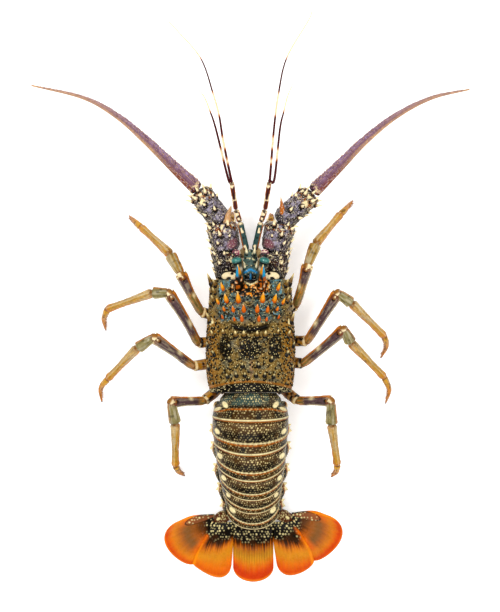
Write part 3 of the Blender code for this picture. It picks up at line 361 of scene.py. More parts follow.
def mixed(tree, factor, first, second, mode="MIX"):
    """One colour laid over another, as far as the factor says."""
    factor_input, first_input, second_input, colour_output = 0, 6, 7, 2
    inputs = {factor_input: factor, first_input: first, second_input: second}
    return put(tree, "Mix", {"data_type": "RGBA", "blend_type": mode}, inputs)[colour_output]


def ranged(tree, value, start, end, low, high, **settings):
    """A value between start and end moved to lie between low and high."""
    inputs = {"Value": value, "From Min": start, "From Max": end, "To Min": low, "To Max": high}
    return put(tree, "MapRange", settings, inputs)[0]


def group(name, inputs, outputs):
    """A new node group with named float or vector sockets, and its two end nodes."""
    tree = bpy.data.node_groups.new(name, "ShaderNodeTree")
    for label, kind in inputs:
        tree.interface.new_socket(label, in_out="INPUT", socket_type="NodeSocket" + kind)
    for label, kind in outputs:
        tree.interface.new_socket(label, in_out="OUTPUT", socket_type="NodeSocket" + kind)
    return tree, tree.nodes.new("NodeGroupInput").outputs, tree.nodes.new("NodeGroupOutput").inputs


print("mid grey in linear light is", round(colour("808080")[0], 3))

# %% Mottle and speck groups
mottle_group, given, wanted = group(
    "mottle", [("Place", "Vector"), ("Size", "Float")], [("Shade", "Float"), ("Height", "Float")]
)
broad = put(mottle_group, "TexNoise", {}, {
    "Vector": given["Place"], "Scale": given["Size"], "Detail": 5.0, "Roughness": 0.6})[0]
finer_scale = maths(mottle_group, "MULTIPLY", given["Size"], 5.0)
finer = put(mottle_group, "TexNoise", {}, {"Vector": given["Place"], "Scale": finer_scale, "Detail": 3.0})[0]
both = maths(mottle_group, "ADD", maths(mottle_group, "MULTIPLY", broad, 0.65),
             maths(mottle_group, "MULTIPLY", finer, 0.35))
mottle_group.links.new(both, wanted["Shade"])
mottle_group.links.new(finer, wanted["Height"])

speck_group, given, wanted = group(
    "specks", [("Place", "Vector"), ("Density", "Float"), ("Radius", "Float")], [("Mask", "Float")]
)
cells = put(speck_group, "TexVoronoi", {}, {
    "Vector": given["Place"], "Scale": given["Density"], "Randomness": 0.85})
inner = maths(speck_group, "MULTIPLY", given["Radius"], 0.6)
fading = ranged(speck_group, cells["Distance"], inner, given["Radius"], 1.0, 0.0,
                interpolation_type="SMOOTHSTEP")
speck_group.links.new(fading, wanted["Mask"])
print("node groups:", [made.name for made in bpy.data.node_groups])

# %% The finish of hard shell
GRAIN_DEPTH = 0.0004
COAT_ROUGHNESS = 0.18
SPECULAR_LEVEL = 0.06
BLACK = "0a0601"


def chitin(name, ground, layers=(), blotch=None, mottle=(220.0, 0.5), specks=(), rough=(0.22, 0.38),
           bump=0.12, coat=0.05):
    """Glossy shell: a ground colour, blotches, painted layers, mottle, specks, gloss and grain."""
    made = bpy.data.materials.new(name)
    made.use_nodes = True
    tree = made.node_tree
    shader = tree.nodes["Principled BSDF"].inputs
    place = put(tree, "TexCoord", {}, {})["Object"]
    mottled = put(tree, "Group", {"node_tree": mottle_group}, {"Place": place, "Size": mottle[0]})
    paint = colour(ground)
    if blotch:
        wide = put(tree, "Group", {"node_tree": mottle_group}, {"Place": place, "Size": blotch[0]})
        paint = mixed(tree, ranged(tree, wide["Shade"], 0.48, 0.6, 0.0, 1.0), paint, colour(blotch[1]))
    for mask, code in layers:
        paint = mixed(tree, put(tree, "Attribute", {"attribute_name": mask}, {})["Fac"], paint, colour(code))
    shade = ranged(tree, mottled["Shade"], 0.3, 0.7, 1 - mottle[1], 1 + mottle[1])
    grey = put(tree, "CombineColor", {}, {"Red": shade, "Green": shade, "Blue": shade})
    paint = mixed(tree, 1.0, paint, grey[0], "MULTIPLY")
    for density, radius, code in specks:
        inputs = {"Place": place, "Density": density, "Radius": radius}
        dots = put(tree, "Group", {"node_tree": speck_group}, inputs)
        paint = mixed(tree, dots["Mask"], paint, colour(code))
    tree.links.new(paint, shader["Base Color"])
    tree.links.new(ranged(tree, mottled["Shade"], 0.3, 0.7, *rough), shader["Roughness"])
    grain = put(tree, "Bump", {}, {"Strength": bump, "Distance": GRAIN_DEPTH, "Height": mottled["Height"]})
    tree.links.new(grain[0], shader["Normal"])
    shader["Coat Weight"].default_value = coat
    shader["Coat Roughness"].default_value = COAT_ROUGHNESS
    shader["Specular IOR Level"].default_value = SPECULAR_LEVEL
    print("finish", name, "of", len(layers), "layers")
    return made


print("hard shell is coated at a roughness of", COAT_ROUGHNESS)


# %% [markdown]
# ## Studio
# The floor is plain and pale, and large soft lights stand round the animal, so
# that the glossy shell shows broad highlights and the shadows stay faint.

# %% Floor and lights
FLOOR_HALF = 3000.0
FLOOR_DROP = 0.1
WORLD_STRENGTH = 0.36

WHITE = (1.0, 1.0, 1.0, 1.0)
FLOOR_LOOKS = {
    "Base Color": (0.92, 0.92, 0.92, 1.0), "Roughness": 0.9, "Specular IOR Level": 0.1,
    "Emission Color": WHITE, "Emission Strength": 0.3,
}
floor_material = bpy.data.materials.new("pale_floor")
floor_material.use_nodes = True
for key, value in FLOOR_LOOKS.items():
    floor_material.node_tree.nodes["Principled BSDF"].inputs[key].default_value = value
floor_mesh = bpy.data.meshes.new("floor")
floor_corners = np.array(((-1, -1), (1, -1), (1, 1), (-1, 1))) * FLOOR_HALF
floor_mesh.from_pydata([(x * MM, y * MM, -FLOOR_DROP * MM) for x, y in floor_corners], [], [(0, 1, 2, 3)])
floor_mesh.materials.append(floor_material)
floor = bpy.data.objects.new("floor", floor_mesh)
bpy.context.scene.collection.objects.link(floor)
floor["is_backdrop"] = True

# Each light's place in metres, its width in metres and its power in watts.
LIGHTS = {
    "key": ((0.45, -0.55, 1.2), 0.7, 11.5),
    "fill": ((-0.65, -0.1, 1.0), 1.0, 7.5),
    "rear": ((0.15, 0.75, 1.0), 0.9, 6.5),
    "glint": ((0.3, -0.3, 1.4), 0.08, 2.0),
}
for label, (place, size, power) in LIGHTS.items():
    light = bpy.data.lights.new(label, "AREA")
    light.size = size
    light.energy = power
    lamp = bpy.data.objects.new(label, light)
    lamp.location = place
    lamp.rotation_euler = Vector(place).to_track_quat("Z", "Y").to_euler()
    bpy.context.scene.collection.objects.link(lamp)
world = bpy.data.worlds.new("studio")
world.use_nodes = True
background = world.node_tree.nodes["Background"].inputs
background["Color"].default_value = WHITE
background["Strength"].default_value = WORLD_STRENGTH
bpy.context.scene.world = world
bpy.context.scene.view_settings.view_transform = "Standard"
print("lights:", ", ".join(LIGHTS))

# %% [markdown]
# ## Carapace
# The barrel shell is an oval section carried from the front margin to the rear.
# Its half width and its crown are two short formulas of the length, the same as
# the solid's. Relief is added outward: the U-shaped groove behind the head, the
# raised rim near the rear margin with its sunken band, and soft lumps.

# %% The barrel shell
SHELL_FRONT, SHELL_REAR = -13.0, 71.5
SHELL_WIDEST, SHELL_AXIS, SHELL_CROWN, SHELL_BOTTOM = 40.0, 44.0, 72.0, 26.0
SHELL_HALF_WIDTH = 33.4


def shell_half_width(y):
    """The greatest half width, less a power of the distance ahead of or behind the widest place."""
    ahead = np.clip((SHELL_WIDEST - y) / 56, 0, None) ** 1.3
    behind = np.clip((y - SHELL_WIDEST) / 31, 0, None) ** 2.6
    return SHELL_HALF_WIDTH - 3.9 * ahead - 3.0 * behind


def shell_crown(y):
    """The height of the back, which falls off ahead and behind in the same way as the width."""
    ahead = np.clip((SHELL_WIDEST - y) / 53, 0, None) ** 1.6
    behind = np.clip((y - SHELL_WIDEST) / 31, 0, None) ** 2
    return SHELL_CROWN - 12.0 * ahead - 5.0 * behind


def groove_y(x):
    """The place of the U-shaped groove: a parabola that sweeps forward at the sides."""
    return 24.6 - 11.5 * (x / 26) ** 2


def rim_y(x):
    """The place of the rust-coloured rim: an arch that lies further back at the sides."""
    return 63.2 + 2.9 * (x / 24) ** 2


def shell_relief(x, y):
    """Groove, rear rim and band, midline and lumps, added up in millimetres."""
    groove = -1.7 * bell(y, groove_y(x), 2.2) + 0.35 * bell(y, groove_y(x) + 3.6, 1.2)
    behind = y - rim_y(x)
    rim = 0.55 * bell(behind, 0, 0.7) + 0.45 * bell(y, 71.0, 0.7)
    band = -0.75 * soft(0.5, 1.6, behind) * soft(71.0, 69.6, y)
    midline = -0.35 * bell(x, 0, 1.6) * soft(28, 36, y)
    lumps = 0.7 * (field(x, y, 5.0, 1) - 0.5) + 0.4 * (field(x, y, 1.9, 2) - 0.5)
    return groove + rim + band + midline + lumps * soft(0, 3, y - SHELL_FRONT) * soft(0, -2, behind)


def shell_points(turns, ys, relief=True):
    """The shell at turns from the left edge over the crown, and at places along it."""
    turns, ys = np.broadcast_arrays(turns, ys)
    up = np.sin(turns) >= 0
    power = np.where(up, 2 / 2.2, 2 / 3.5)
    x = shell_half_width(ys) * np.sign(np.cos(turns)) * np.abs(np.cos(turns)) ** power
    reach = np.where(up, shell_crown(ys) - SHELL_AXIS, SHELL_AXIS - SHELL_BOTTOM)
    z = np.sign(np.sin(turns)) * np.abs(np.sin(turns)) ** power * reach
    out = np.where(up, shell_relief(x, ys) * soft(0, 0.25, np.sin(turns)), 0.0) if relief else 0.0
    swell = 1 + out / np.maximum(np.hypot(x, z), 1.0)
    return np.stack([x * swell, ys, SHELL_AXIS + z * swell], -1)


def shell_turn(x, y):
    """The turn at which the shell lies x from the midline."""
    turn = np.arccos(np.clip(np.abs(x) / shell_half_width(y), 0, 1) ** 1.1)
    return np.where(x > 0, turn, np.pi - turn)


def shell_out(turns, ys):
    """The direction out of the shell, from the slopes along its two parameters."""
    across = shell_points(turns + 0.01, ys, False) - shell_points(turns - 0.01, ys, False)
    along = shell_points(turns, ys + 0.3, False) - shell_points(turns, ys - 0.3, False)
    return unit(np.cross(along, across))


print("the shell is", 2 * SHELL_HALF_WIDTH, "wide and", SHELL_REAR - SHELL_FRONT, "long")

# %% [markdown]
# The markings are worked out from the place on the shell: blue-grey ground over
# the head, a leopard pattern behind the eyes, a black crescent in the groove,
# black clusters on the back, a rust rim, and a pale and black beaded margin.
# Black on the shell's front edge, ahead of its cream margin line, is painted
# shade of the pit under that edge.

# %% Markings of the shell


def shell_paint(x, y):
    """Masks of the shell's colours, from the distance to the midline and the length."""
    a = np.abs(x)
    grain, coarse, fine = field(x, y, 1.5, 5), field(x, y, 3.2, 6), field(x, y, 1.0, 7)
    head = soft(28, 21, a) * soft(21, 14, y)
    wash = 0.5 * soft(0.62, 0.8, coarse) * soft(26, 30, y) * soft(28, 20, a)
    blue_specks = 0.8 * head * soft(0.7, 0.78, field(x, y, 1.5, 10)) * soft(3, 7, a)
    ahead = y + 9.75 + 3.75 * (a / 7) ** 1.5
    leopard = soft(15.5, 14, a) * soft(0.6, -0.8, y + 0.02 * x**2) * soft(0.0, 0.8, ahead)
    vein = np.abs(field(x, y, 1.6, 11) - 0.5)
    clusters = np.clip(spot(a, y, (18.8, 37.5), (5.0, 9.0)) + spot(a, y, (1.0, 38.5), (8.4, 8.6)), 0, 1)
    behind = y - rim_y(x)
    masks = {
        "teal": most(head * soft(0.25, 0.5, coarse), wash),
        "gold": soft(19, 30, a) * soft(12, 20, y) * soft(1.5, 0.5, behind),
        "blue": blue_specks + spot(a, y, (22.6, -5.4), (1.0, 3.2)),
        "pink": 0.7 * spot(x, y, (-0.4, 53.5), (1.2, 7.0)),
        "orange": leopard * soft(0.18, 0.24, vein),
        "rust": bell(behind, 0, 0.9) + bell(y, 71.3, 0.5),
        "black": most(
            leopard * soft(0.22, 0.16, vein),
            # Black ahead of the front margin line: painted shade in the pit under the shell's front edge.
            soft(0.3, -0.3, ahead) * soft(10, 8, a),
            np.exp(-(((y - groove_y(x)) / 2.9) ** 4)) * soft(18, 12, a),
            bell(a, 14.8, 0.9) * soft(-13, -11, y) * soft(-1, -3, y),
            bell(y, -1.4 - 0.02 * x**2, 0.8) * soft(15, 13, a) * soft(2, 4, a),
            clusters * soft(0.16, 0.26, fine),
            head * soft(0.52, 0.62, fine) * soft(-2, 0, y) * 0.9,
            soft(0.7, 1.4, behind),
        ),
        "cream": most(
            leopard * soft(0.4, 0.44, vein) * 0.7,
            bell(ahead, 0.4, 0.5) * soft(9, 7.5, a),
            spot(a, y, (29.8, 18.0), (2.0, 2.6)) * soft(0.25, 0.35, grain),
        ),
    }
    return {name: np.clip(mask, 0, 1) for name, mask in masks.items()}


TURNS_UP, TURNS_DOWN, SHELL_ROWS = 236, 36, 256
turns = np.concatenate([np.linspace(0, np.pi, TURNS_UP), np.linspace(np.pi, 2 * np.pi, TURNS_DOWN)[1:-1]])
rows = np.linspace(SHELL_FRONT, SHELL_REAR, SHELL_ROWS)
shell_grid = shell_points(turns[None], rows[:, None])
axis_point = np.array((0.0, 0.0, SHELL_AXIS))
# The shell turns in at both ends by rings that are a share of its last ring and a step along.
walls = [
    (shell_grid[end] - axis_point) * (share, 1, share) + axis_point + (0, step, 0)
    for end, share, step in ((0, 0.86, 1.6), (0, 0.95, 0.3), (-1, 0.96, -0.3), (-1, 0.9, -1.2))
]
shell_grid = np.concatenate([walls[:2], shell_grid, walls[2:]])
shell_masks = shell_paint(shell_grid[..., 0], shell_grid[..., 1])
shell_masks["belly"] = np.broadcast_to(soft(0.1, -0.2, np.sin(turns))[None], shell_grid.shape[:2])

shell_layers = (
    ("teal", "40504a"), ("gold", "8a5c12"), ("blue", "588895"), ("pink", "7b5c42"), ("orange", "cf7a0a"),
    ("rust", "86500a"), ("black", BLACK), ("cream", "e6d49c"), ("belly", "795d2e"),
)
shell_finish = chitin(
    "shell", "7a602e", shell_layers, blotch=(420.0, "443510"),
    specks=((620.0, 0.22, "dcc98c"), (520.0, 0.2, BLACK)),
)
piece("carapace_shell", [tube(shell_grid, **shell_masks)], shell_finish, ["carapace"])

# %% [markdown]
# ## Spines and granules of the carapace
# Each spine is a turned form on a swollen foot. All of them are one array: feet
# on the shell, directions out of it that lean to the head, then one profile. The
# granules are the same idea on a jittered honeycomb, so they are even but never
# in rows.

# %% Spines of the carapace
# Distance from the midline, place along, length and radius. The side spines give a turn in degrees first.
CARAPACE_SPINES = (
    (9.0, 2.8, 7.6, 2.1), (18.0, 3.0, 6.4, 1.9), (5.0, 10.3, 6.0, 1.85), (12.8, 10.3, 4.6, 1.5),
    (19.8, 9.6, 3.2, 1.2), (6.3, 17.2, 4.6, 1.55), (12.0, 17.2, 3.0, 1.1), (22.0, 15.5, 3.0, 1.1),
    (4.8, 28.6, 4.0, 1.9), (11.0, 28.6, 4.0, 1.9), (20.0, 27.0, 3.4, 1.4), (6.2, 36.5, 3.2, 1.3),
    (15.5, 38.0, 3.4, 1.4), (15.4, 47.0, 3.4, 1.5), (6.0, 51.5, 3.2, 1.5), (4.1, 58.6, 3.0, 1.4),
    (10.5, 58.6, 3.0, 1.4), (17.0, 59.5, 3.0, 1.4),
)
SIDE_SPINES = (
    (14.0, -10.5, 7.5, 1.8), (32.0, -9.0, 5.5, 1.6), (16.0, -3.0, 4.0, 1.3), (30.0, 3.0, 5.0, 1.6),
    (16.0, 6.0, 3.5, 1.2), (20.0, 18.0, 6.5, 2.0), (34.0, 29.0, 4.5, 1.6), (20.0, 37.0, 3.5, 1.4),
    (38.0, 43.0, 3.6, 1.5), (22.0, 54.0, 3.4, 1.4),
)
# Profiles: shares of the length, with the radius as a share of the foot's.
THORN = (
    (-0.3, 1.35), (0.0, 1.3), (0.07, 1.16), (0.16, 0.96), (0.35, 0.78), (0.55, 0.58),
    (0.75, 0.36), (0.9, 0.17), (1.0, 0.0),
)
EGG = (
    (-0.3, 0.9), (0.0, 1.05), (0.12, 1.12), (0.3, 1.0), (0.5, 0.8), (0.7, 0.54), (0.87, 0.27), (1.0, 0.0),
)
BROW_SPINES = ((20.6, -6.0, 6.0, 1.6), (26.5, -3.0, 5.0, 1.3), (24.0, 4.5, 4.5, 1.3))
FORWARD = np.array((0.0, -0.95, 0.0))
SLIM = 0.86


def standing(spines, side):
    """Turn and length of spines given by their distance from the midline, with their sizes."""
    x, y, size, radius = np.array(spines).T
    return np.column_stack([shell_turn(side * x, y), y, size, radius])


flank = np.array(SIDE_SPINES) * (np.pi / 180, 1, 1, 1)
thorns = np.concatenate([
    *(standing(CARAPACE_SPINES + BROW_SPINES, side) for side in (1, -1)),
    flank, flank * (-1, 1, 1, 1) + (np.pi, 0, 0, 0),
])
thorn_feet = shell_points(thorns[:, 0], thorns[:, 1])
low_down = soft(26, 29, np.abs(thorn_feet[:, 0]))[:, None]
thorn_ways = shell_out(thorns[:, 0], thorns[:, 1]) * (1 - 0.45 * low_down) + FORWARD
bright = (thorns[:, 1] < 21) & (np.abs(thorn_feet[:, 0]) < 25)
thorn_finish = chitin(
    "thorn", "5e4008",
    (("dull", BLACK), ("bright", "c05204"), ("yellow", "d89010"), ("pale", "e1cb8b"), ("ring", BLACK)),
    mottle=(700.0, 0.25), rough=(0.16, 0.28), bump=0.05, coat=0.2,
)
_, place, size, radius = thorns[bright].T
thorn_parts = [studs(
    thorn_feet[bright], thorn_ways[bright], size, radius * SLIM, EGG, sides=16, bend=(0.0, -0.1, 0.0),
    bright=1.0, yellow=(0.0, 0.45, soft(12, 6, place) * 0.9), pale=(0.78, 0.98, 0.8),
)]
_, place, size, radius = thorns[~bright].T
thorn_parts.append(studs(
    thorn_feet[~bright], thorn_ways[~bright], size, radius, THORN, sides=14, bend=(0.0, -0.16, 0.0),
    # Pale tips: cream on the row just behind the groove; on the black domes behind 30 mm they are painted
    # glints.
    dull=soft(29, 31, place), pale=(0.45, 0.75, np.where((place >= 21) & (place < 30), 1, 0.7)),
    ring=(0.16, 0.05, 1.0),
))
piece("carapace_spines", thorn_parts, thorn_finish)

# %% Granules of the carapace
GRANULE = ((-0.5, 1.0), (0.1, 0.95), (0.5, 0.7), (0.85, 0.35), (1.0, 0.0))
HONEYCOMB_ROW = 0.87
GRANULE_LENGTH = 82.0


def honeycomb(pitch, width, length, seed, shake=0.3):
    """Points over a width and a length at the pitch of a honeycomb, shaken by a share of it."""
    draw = np.random.default_rng(seed)
    across, along = np.arange(0, width, pitch), np.arange(0, length, pitch * HONEYCOMB_ROW)
    u, v = np.meshgrid(across, along, indexing="ij")
    u = u + pitch / 2 * (np.arange(len(along)) % 2)
    shaken = np.stack([u, v], -1).reshape(-1, 2)
    return shaken + draw.uniform(-shake, shake, shaken.shape) * pitch, draw


def clear_of(places, others, distance):
    """Which places are further than a distance from all the others."""
    gaps = np.linalg.norm(places[:, None] - others[None], axis=-1)
    return gaps.min(axis=1) > distance


def shell_granules(pitch, size, seed, low=0.15, high=np.pi - 0.15, front=SHELL_FRONT):
    """Granules on the shell between two turns: feet, ways, sizes and random shares."""
    spread, draw = honeycomb(pitch, SHELL_HALF_WIDTH * (high - low), GRANULE_LENGTH, seed)
    turn, y = low + spread[:, 0] / SHELL_HALF_WIDTH, SHELL_FRONT + 1.5 + spread[:, 1]
    feet = shell_points(turn, y)
    x = feet[:, 0]
    fine = (np.abs(y - groove_y(x)) > 2.2) & (y < rim_y(x) - 0.8) & (turn < high + 0.03) & (y > front)
    fine &= clear_of(feet, thorn_feet, 2.6)
    share = draw.random(len(feet))
    ways = shell_out(turn, y) + FORWARD * 0.5
    return feet[fine], ways[fine], size * (0.65 + 0.7 * share[fine]), share[fine]


# point: pale points on the granules' tips, partly cream dots and partly painted glints.
granule_finish = chitin(
    "granule", "866a36", (*shell_layers[:8], ("point", "e0cd8c")), blotch=(420.0, "432f0b"),
    mottle=(500.0, 0.3), rough=(0.16, 0.28), coat=0.05,
)
feet, ways, size, share = shell_granules(1.7, 0.36, 21)
masks = shell_paint(feet[:, 0], feet[:, 1])
dark = share > 0.82
size = size * np.where(dark, 1.5, 1.0)
masks["black"] = most(masks["black"], dark)
# Pale points on the small granules: partly cream dots, partly painted glints; fewer on black and orange
# ground.
light = soft(0.5, 0.4, share) * (0.9 - 0.75 * most(masks["black"], masks["orange"]))
granules = [studs(feet, ways, size, size * 1.15, GRANULE, sides=5, **masks, point=(0.3, 0.8, light))]
feet, ways, size, share = shell_granules(4.4, 1.05, 22, front=16)
masks = shell_paint(feet[:, 0], feet[:, 1])
masks["black"] = most(masks["black"], soft(0.15, 0.25, share))
# Pale points on top of the big black granules: painted glints.
light = soft(0.3, 0.5, share)
granules.append(studs(feet, ways, size, size, GRANULE, sides=8, **masks, point=(0.8, 0.97, light)))
piece("carapace_granules", granules, granule_finish)
flank_parts = []
for seed, low, high in ((24, -0.5, 0.16), (25, np.pi - 0.16, np.pi + 0.5)):
    feet, ways, size, share = shell_granules(1.9, 0.38, seed, low, high)
    # Pale points on the flank granules: partly cream dots, partly painted glints.
    point = (0.3, 0.8, 0.8 * soft(0.35, 0.25, share))
    masks = {"gold": 0.8, "black": share > 0.8, "point": point}
    flank_parts.append(studs(feet, ways, size, size * 1.15, GRANULE, sides=5, **masks))
piece("carapace_flank_granules", flank_parts, granule_finish)

# %% Beads along the rear margin
BEAD = ((-0.6, 0.9), (0.0, 1.0), (0.5, 0.85), (0.85, 0.45), (1.0, 0.0))
BEADS_IN_A_ROW = 118
draw = np.random.default_rng(23)
bead_turns = np.tile(np.linspace(0.1, np.pi - 0.1, BEADS_IN_A_ROW), 4)
bead_turns = bead_turns + np.repeat((0, 0.013, 0, 0.013), BEADS_IN_A_ROW)
bead_turns = bead_turns + draw.uniform(-0.006, 0.006, bead_turns.size)
bead_x = shell_points(bead_turns, 68.0)[:, 0]
share = np.repeat((0.14, 0.38, 0.62, 0.86), BEADS_IN_A_ROW)
bead_y = (rim_y(bead_x) + 1.0) * (1 - share) + 70.9 * share + draw.uniform(-0.15, 0.15, bead_turns.size)
bead_feet = shell_points(bead_turns, bead_y)
# About three in ten beads are pale: partly cream beads, partly painted glints on the black band.
pale = (draw.random(bead_turns.size) < 0.3) * 0.8
bead_part = studs(bead_feet, shell_out(bead_turns, bead_y), 0.45, 0.3 + 0.1 * pale, BEAD, sides=7, black=1.0,
                  cream=pale * 0.9)
piece("carapace_margin_beads", [bead_part], granule_finish)

# %% [markdown]
# ## Horns and brows
# Two horns stand over the eyes. Each is a ring carried along a bent path that
# grows thinner to a point, bright blue on its outer side with a golden tip.
# Beside each horn a cream lobe with black spots closes the front of the shell.

# %% Horns
HORN_PATH = ((8.2, -4.5, 55.0), (8.3, -9.5, 63.5), (8.8, -17.0, 69.5), (9.5, -24.5, 72.0))
HORN_ROWS = 60
horn_turns = around(28)
horn_parts = []
t = np.linspace(0, 1, HORN_ROWS)[:, None]
for side in (1, -1):
    path = through(np.array(HORN_PATH) * (side, 1, 1), HORN_ROWS)
    radius = np.interp(t[:, 0], (0, 0.33, 0.6, 0.8, 0.95, 1.0), (4.6, 3.9, 2.7, 1.7, 0.5, 0.0))
    ridge = 0.2 * np.cos(5 * horn_turns) * soft(0.9, 0.4, t) * soft(1, 0.9, t)
    rings = carried(path, radius, radius, horn_turns, ridge)
    across = np.cos(horn_turns)[None] * -side
    vein = np.abs(field(t * 34 + 9 * side, horn_turns[None] * 4, 2.6, 12) - 0.5)
    rear = soft(0.68, 0.6, t)
    horn_parts.append(tube(
        rings, tip=soft(0.66, 0.76, t) * soft(0.2, -0.1, across), pale=soft(0.9, 0.98, t),
        blue=soft(0.05, 0.3, across) * soft(0.6, 0.68, t), orange=soft(0.16, 0.22, vein) * rear,
        black=soft(0.2, 0.14, vein) * rear, cream=soft(0.34, 0.4, vein) * rear * 0.9,
    ))
brow = np.array((15.6, -15.2, 53.0))
brow_turn = around(60)[None]
brow_polar = np.linspace(0.02, np.pi - 0.02, 50)[:, None]
for side in (1, -1):
    sideways, along = np.sin(brow_polar) * np.cos(brow_turn) * side, np.sin(brow_polar) * np.sin(brow_turn)
    way = np.stack(np.broadcast_arrays(sideways, along, np.cos(brow_polar)), -1)
    lobe = brow * (side, 1, 1) + way * (7.1, 4.6, 5.2) + (0, -1, 0) * (1.2 * way[..., 0] ** 2)[..., None]
    u, v = lobe[..., 0] * side - brow[0], lobe[..., 1] - brow[1]
    hook = np.minimum(np.hypot((u - 0.2) / 4.3, (v + 1.7) / 1.7), np.hypot((u + 2.6) / 1.6, (v - 1.2) / 3.2))
    hook = np.minimum(hook, np.hypot((u - 3.6) / 2.3, (v + 0.2) / 1.9))
    marks = spot(u, v, (-1.8, -2.3), (1.3, 1.1)) + spot(u, v, (0.9, 2.9), (2.1, 2.8))
    horn_parts.append(tube(
        lobe, black=soft(2.2, 1.7, hook) * soft(-0.4, 0.1, way[..., 2]),
        cream=soft(1.18, 1.0, hook) * soft(0.0, 0.3, way[..., 2]) * (1 - np.clip(marks, 0, 1)),
    ))
horn_finish = chitin(
    "horn", "32321e",
    (("orange", "9e4b03"), ("black", BLACK), ("cream", "dac79d"), ("tip", "be7904"), ("blue", "1284ac"),
     ("pale", "e3cd8b")),
    mottle=(500.0, 0.25), rough=(0.18, 0.3), bump=0.06, coat=0.05,
)
piece("horns_and_brows", horn_parts, horn_finish)
# %% [markdown]
# ## Eyes
# Each eye is a ball of fine facets in a cup, on a short stalk that leaves the
# head under its horn. The ball is a polar grid about the stalk's own direction,
# so that the facets and the dark rim run round it.

# %% Eyes
EYE_ROOT = np.array((5.4, -12.0, 53.5))
EYE_CENTRE = np.array((10.4, -27.0, 57.5))
PAD_CENTRE, PAD_RADII = np.array((10.6, -33.2, 47.8)), (3.2, 2.6, 3.2)
EYE_RADII = np.array((3.9, 3.3, 3.4))


def ball(centre, radii, axis, rows=40, columns=48, relief=0.0):
    """Rings of an ellipsoid about an axis: a half circle of polar angles turned round it."""
    axis = unit(np.array(axis, float))
    side = unit(np.cross(axis, (0.0, 0.0, 1.0)))
    up = np.cross(side, axis)
    polar = np.linspace(0.02, np.pi - 0.02, rows)[:, None]
    turn = around(columns)[None]
    way = -np.cos(polar)[..., None] * axis + np.sin(polar)[..., None] * (
        np.cos(turn)[..., None] * side + np.sin(turn)[..., None] * up)
    return np.array(centre) + way * (np.array(radii) + np.broadcast_to(relief, (rows, columns))[..., None])


# The shine layer is a painted reflection on the eyeball.
eye_finish = chitin("eye", "0a3433", (("rim", BLACK), ("shine", "287468")), mottle=(900.0, 0.3),
                    rough=(0.03, 0.06), bump=0.02, coat=1.0)
stalk_finish = chitin("eye_stalk", "34413b", (("rose", "9a4660"), ("cream", "e2d2b4"), ("black", BLACK)),
                      mottle=(600.0, 0.4), rough=(0.2, 0.35))
for label, side in (("left", 1), ("right", -1)):
    centre, root = EYE_CENTRE * (side, 1, 1), EYE_ROOT * (side, 1, 1)
    polar = np.linspace(0.02, np.pi - 0.02, 40)[:, None]
    facet = 0.025 * np.cos(polar * 60) * np.cos(around(48)[None] * 24)
    rings = ball(centre, EYE_RADII, centre - root, relief=facet)
    # shine: a lighter teal band round the eyeball, a painted reflection.
    eyeball = tube(rings, rim=soft(1.5, 1.1, polar), shine=bell(polar, 2.0, 0.5))
    piece(f"eyeball_{label}", [eyeball], eye_finish, [f"eye_{label}"])
    t = np.linspace(0, 1, 30)
    path = through([root, (root + centre) / 2 - (0, 0, 0.6), centre - unit(centre - root) * 0.4], 30)
    radius = np.interp(t, (0, 0.3, 0.6, 0.85, 0.95, 1.0), (2.0, 2.1, 2.5, 3.35, 3.45, 3.0))
    rings = carried(path, radius, radius * 0.95, around(32))
    cup = tube(rings, black=soft(0.85, 0.93, t)[:, None], cream=bell(t, 0.62, 0.1)[:, None] * 0.7)
    pad = ball(PAD_CENTRE * (side, 1, 1), PAD_RADII, (0, 1, 0), rows=30, columns=30)
    warts = field(pad[..., 0], pad[..., 1], 0.9, 35)
    boss = tube(pad, rose=soft(0.2, 0.5, warts), cream=soft(0.6, 0.7, warts))
    piece(f"eye_stalk_{label}", [cup, boss], stalk_finish)

# %% [markdown]
# ## Antennular plate
# Between the thick antennae lies a small plate that carries the antennules. It
# is a flat oval section that narrows to the front, with two pairs of spines. The
# black spot at its rear, under the front edge of the shell, is painted shade.

# %% Antennular plate
t = np.linspace(0, 1, 70)
plate_y = -13.0 - 22.8 * t
plate_path = np.stack([0 * t, plate_y, np.full(70, 49.0)], -1)
plate_width, plate_height = (
    half * np.interp(t, (0, 0.25, 0.6, 0.9, 1.0), shares) * rounded(t, 0.01, 0.08)
    for half, shares in ((6.4, (1, 1, 0.85, 0.7, 0.5)), (4.0, (1, 0.95, 0.75, 0.55, 0.4)))
)
plate_turns = around(72)
wave = 0.5 * (field(plate_y[:, None], plate_turns[None] * 5, 1.1, 31) - 0.5)
plate_rings = carried(plate_path, plate_width, plate_height, plate_turns, wave * soft(0, 0.1, t[:, None]))
px, py = plate_rings[..., 0], plate_rings[..., 1]
chevron = bell(py, -20.8 + 0.55 * np.abs(px), 0.9) * soft(7, 5, np.abs(px))
plate_masks = {
    "blue": most(chevron, bell(px, 0, 0.5) * soft(-18, -17, py)),
    # The black spot at (0, -14.6) is painted shade under the shell's front edge; the rest of the black is
    # specks.
    "black": spot(px, py, (0, -14.6), (4.6, 3.0)) + 0.8 * soft(0.6, 0.7, field(px, py, 1.5, 32)),
    "cream": 0.7 * soft(0.78, 0.85, field(px, py, 1.1, 33)),
}
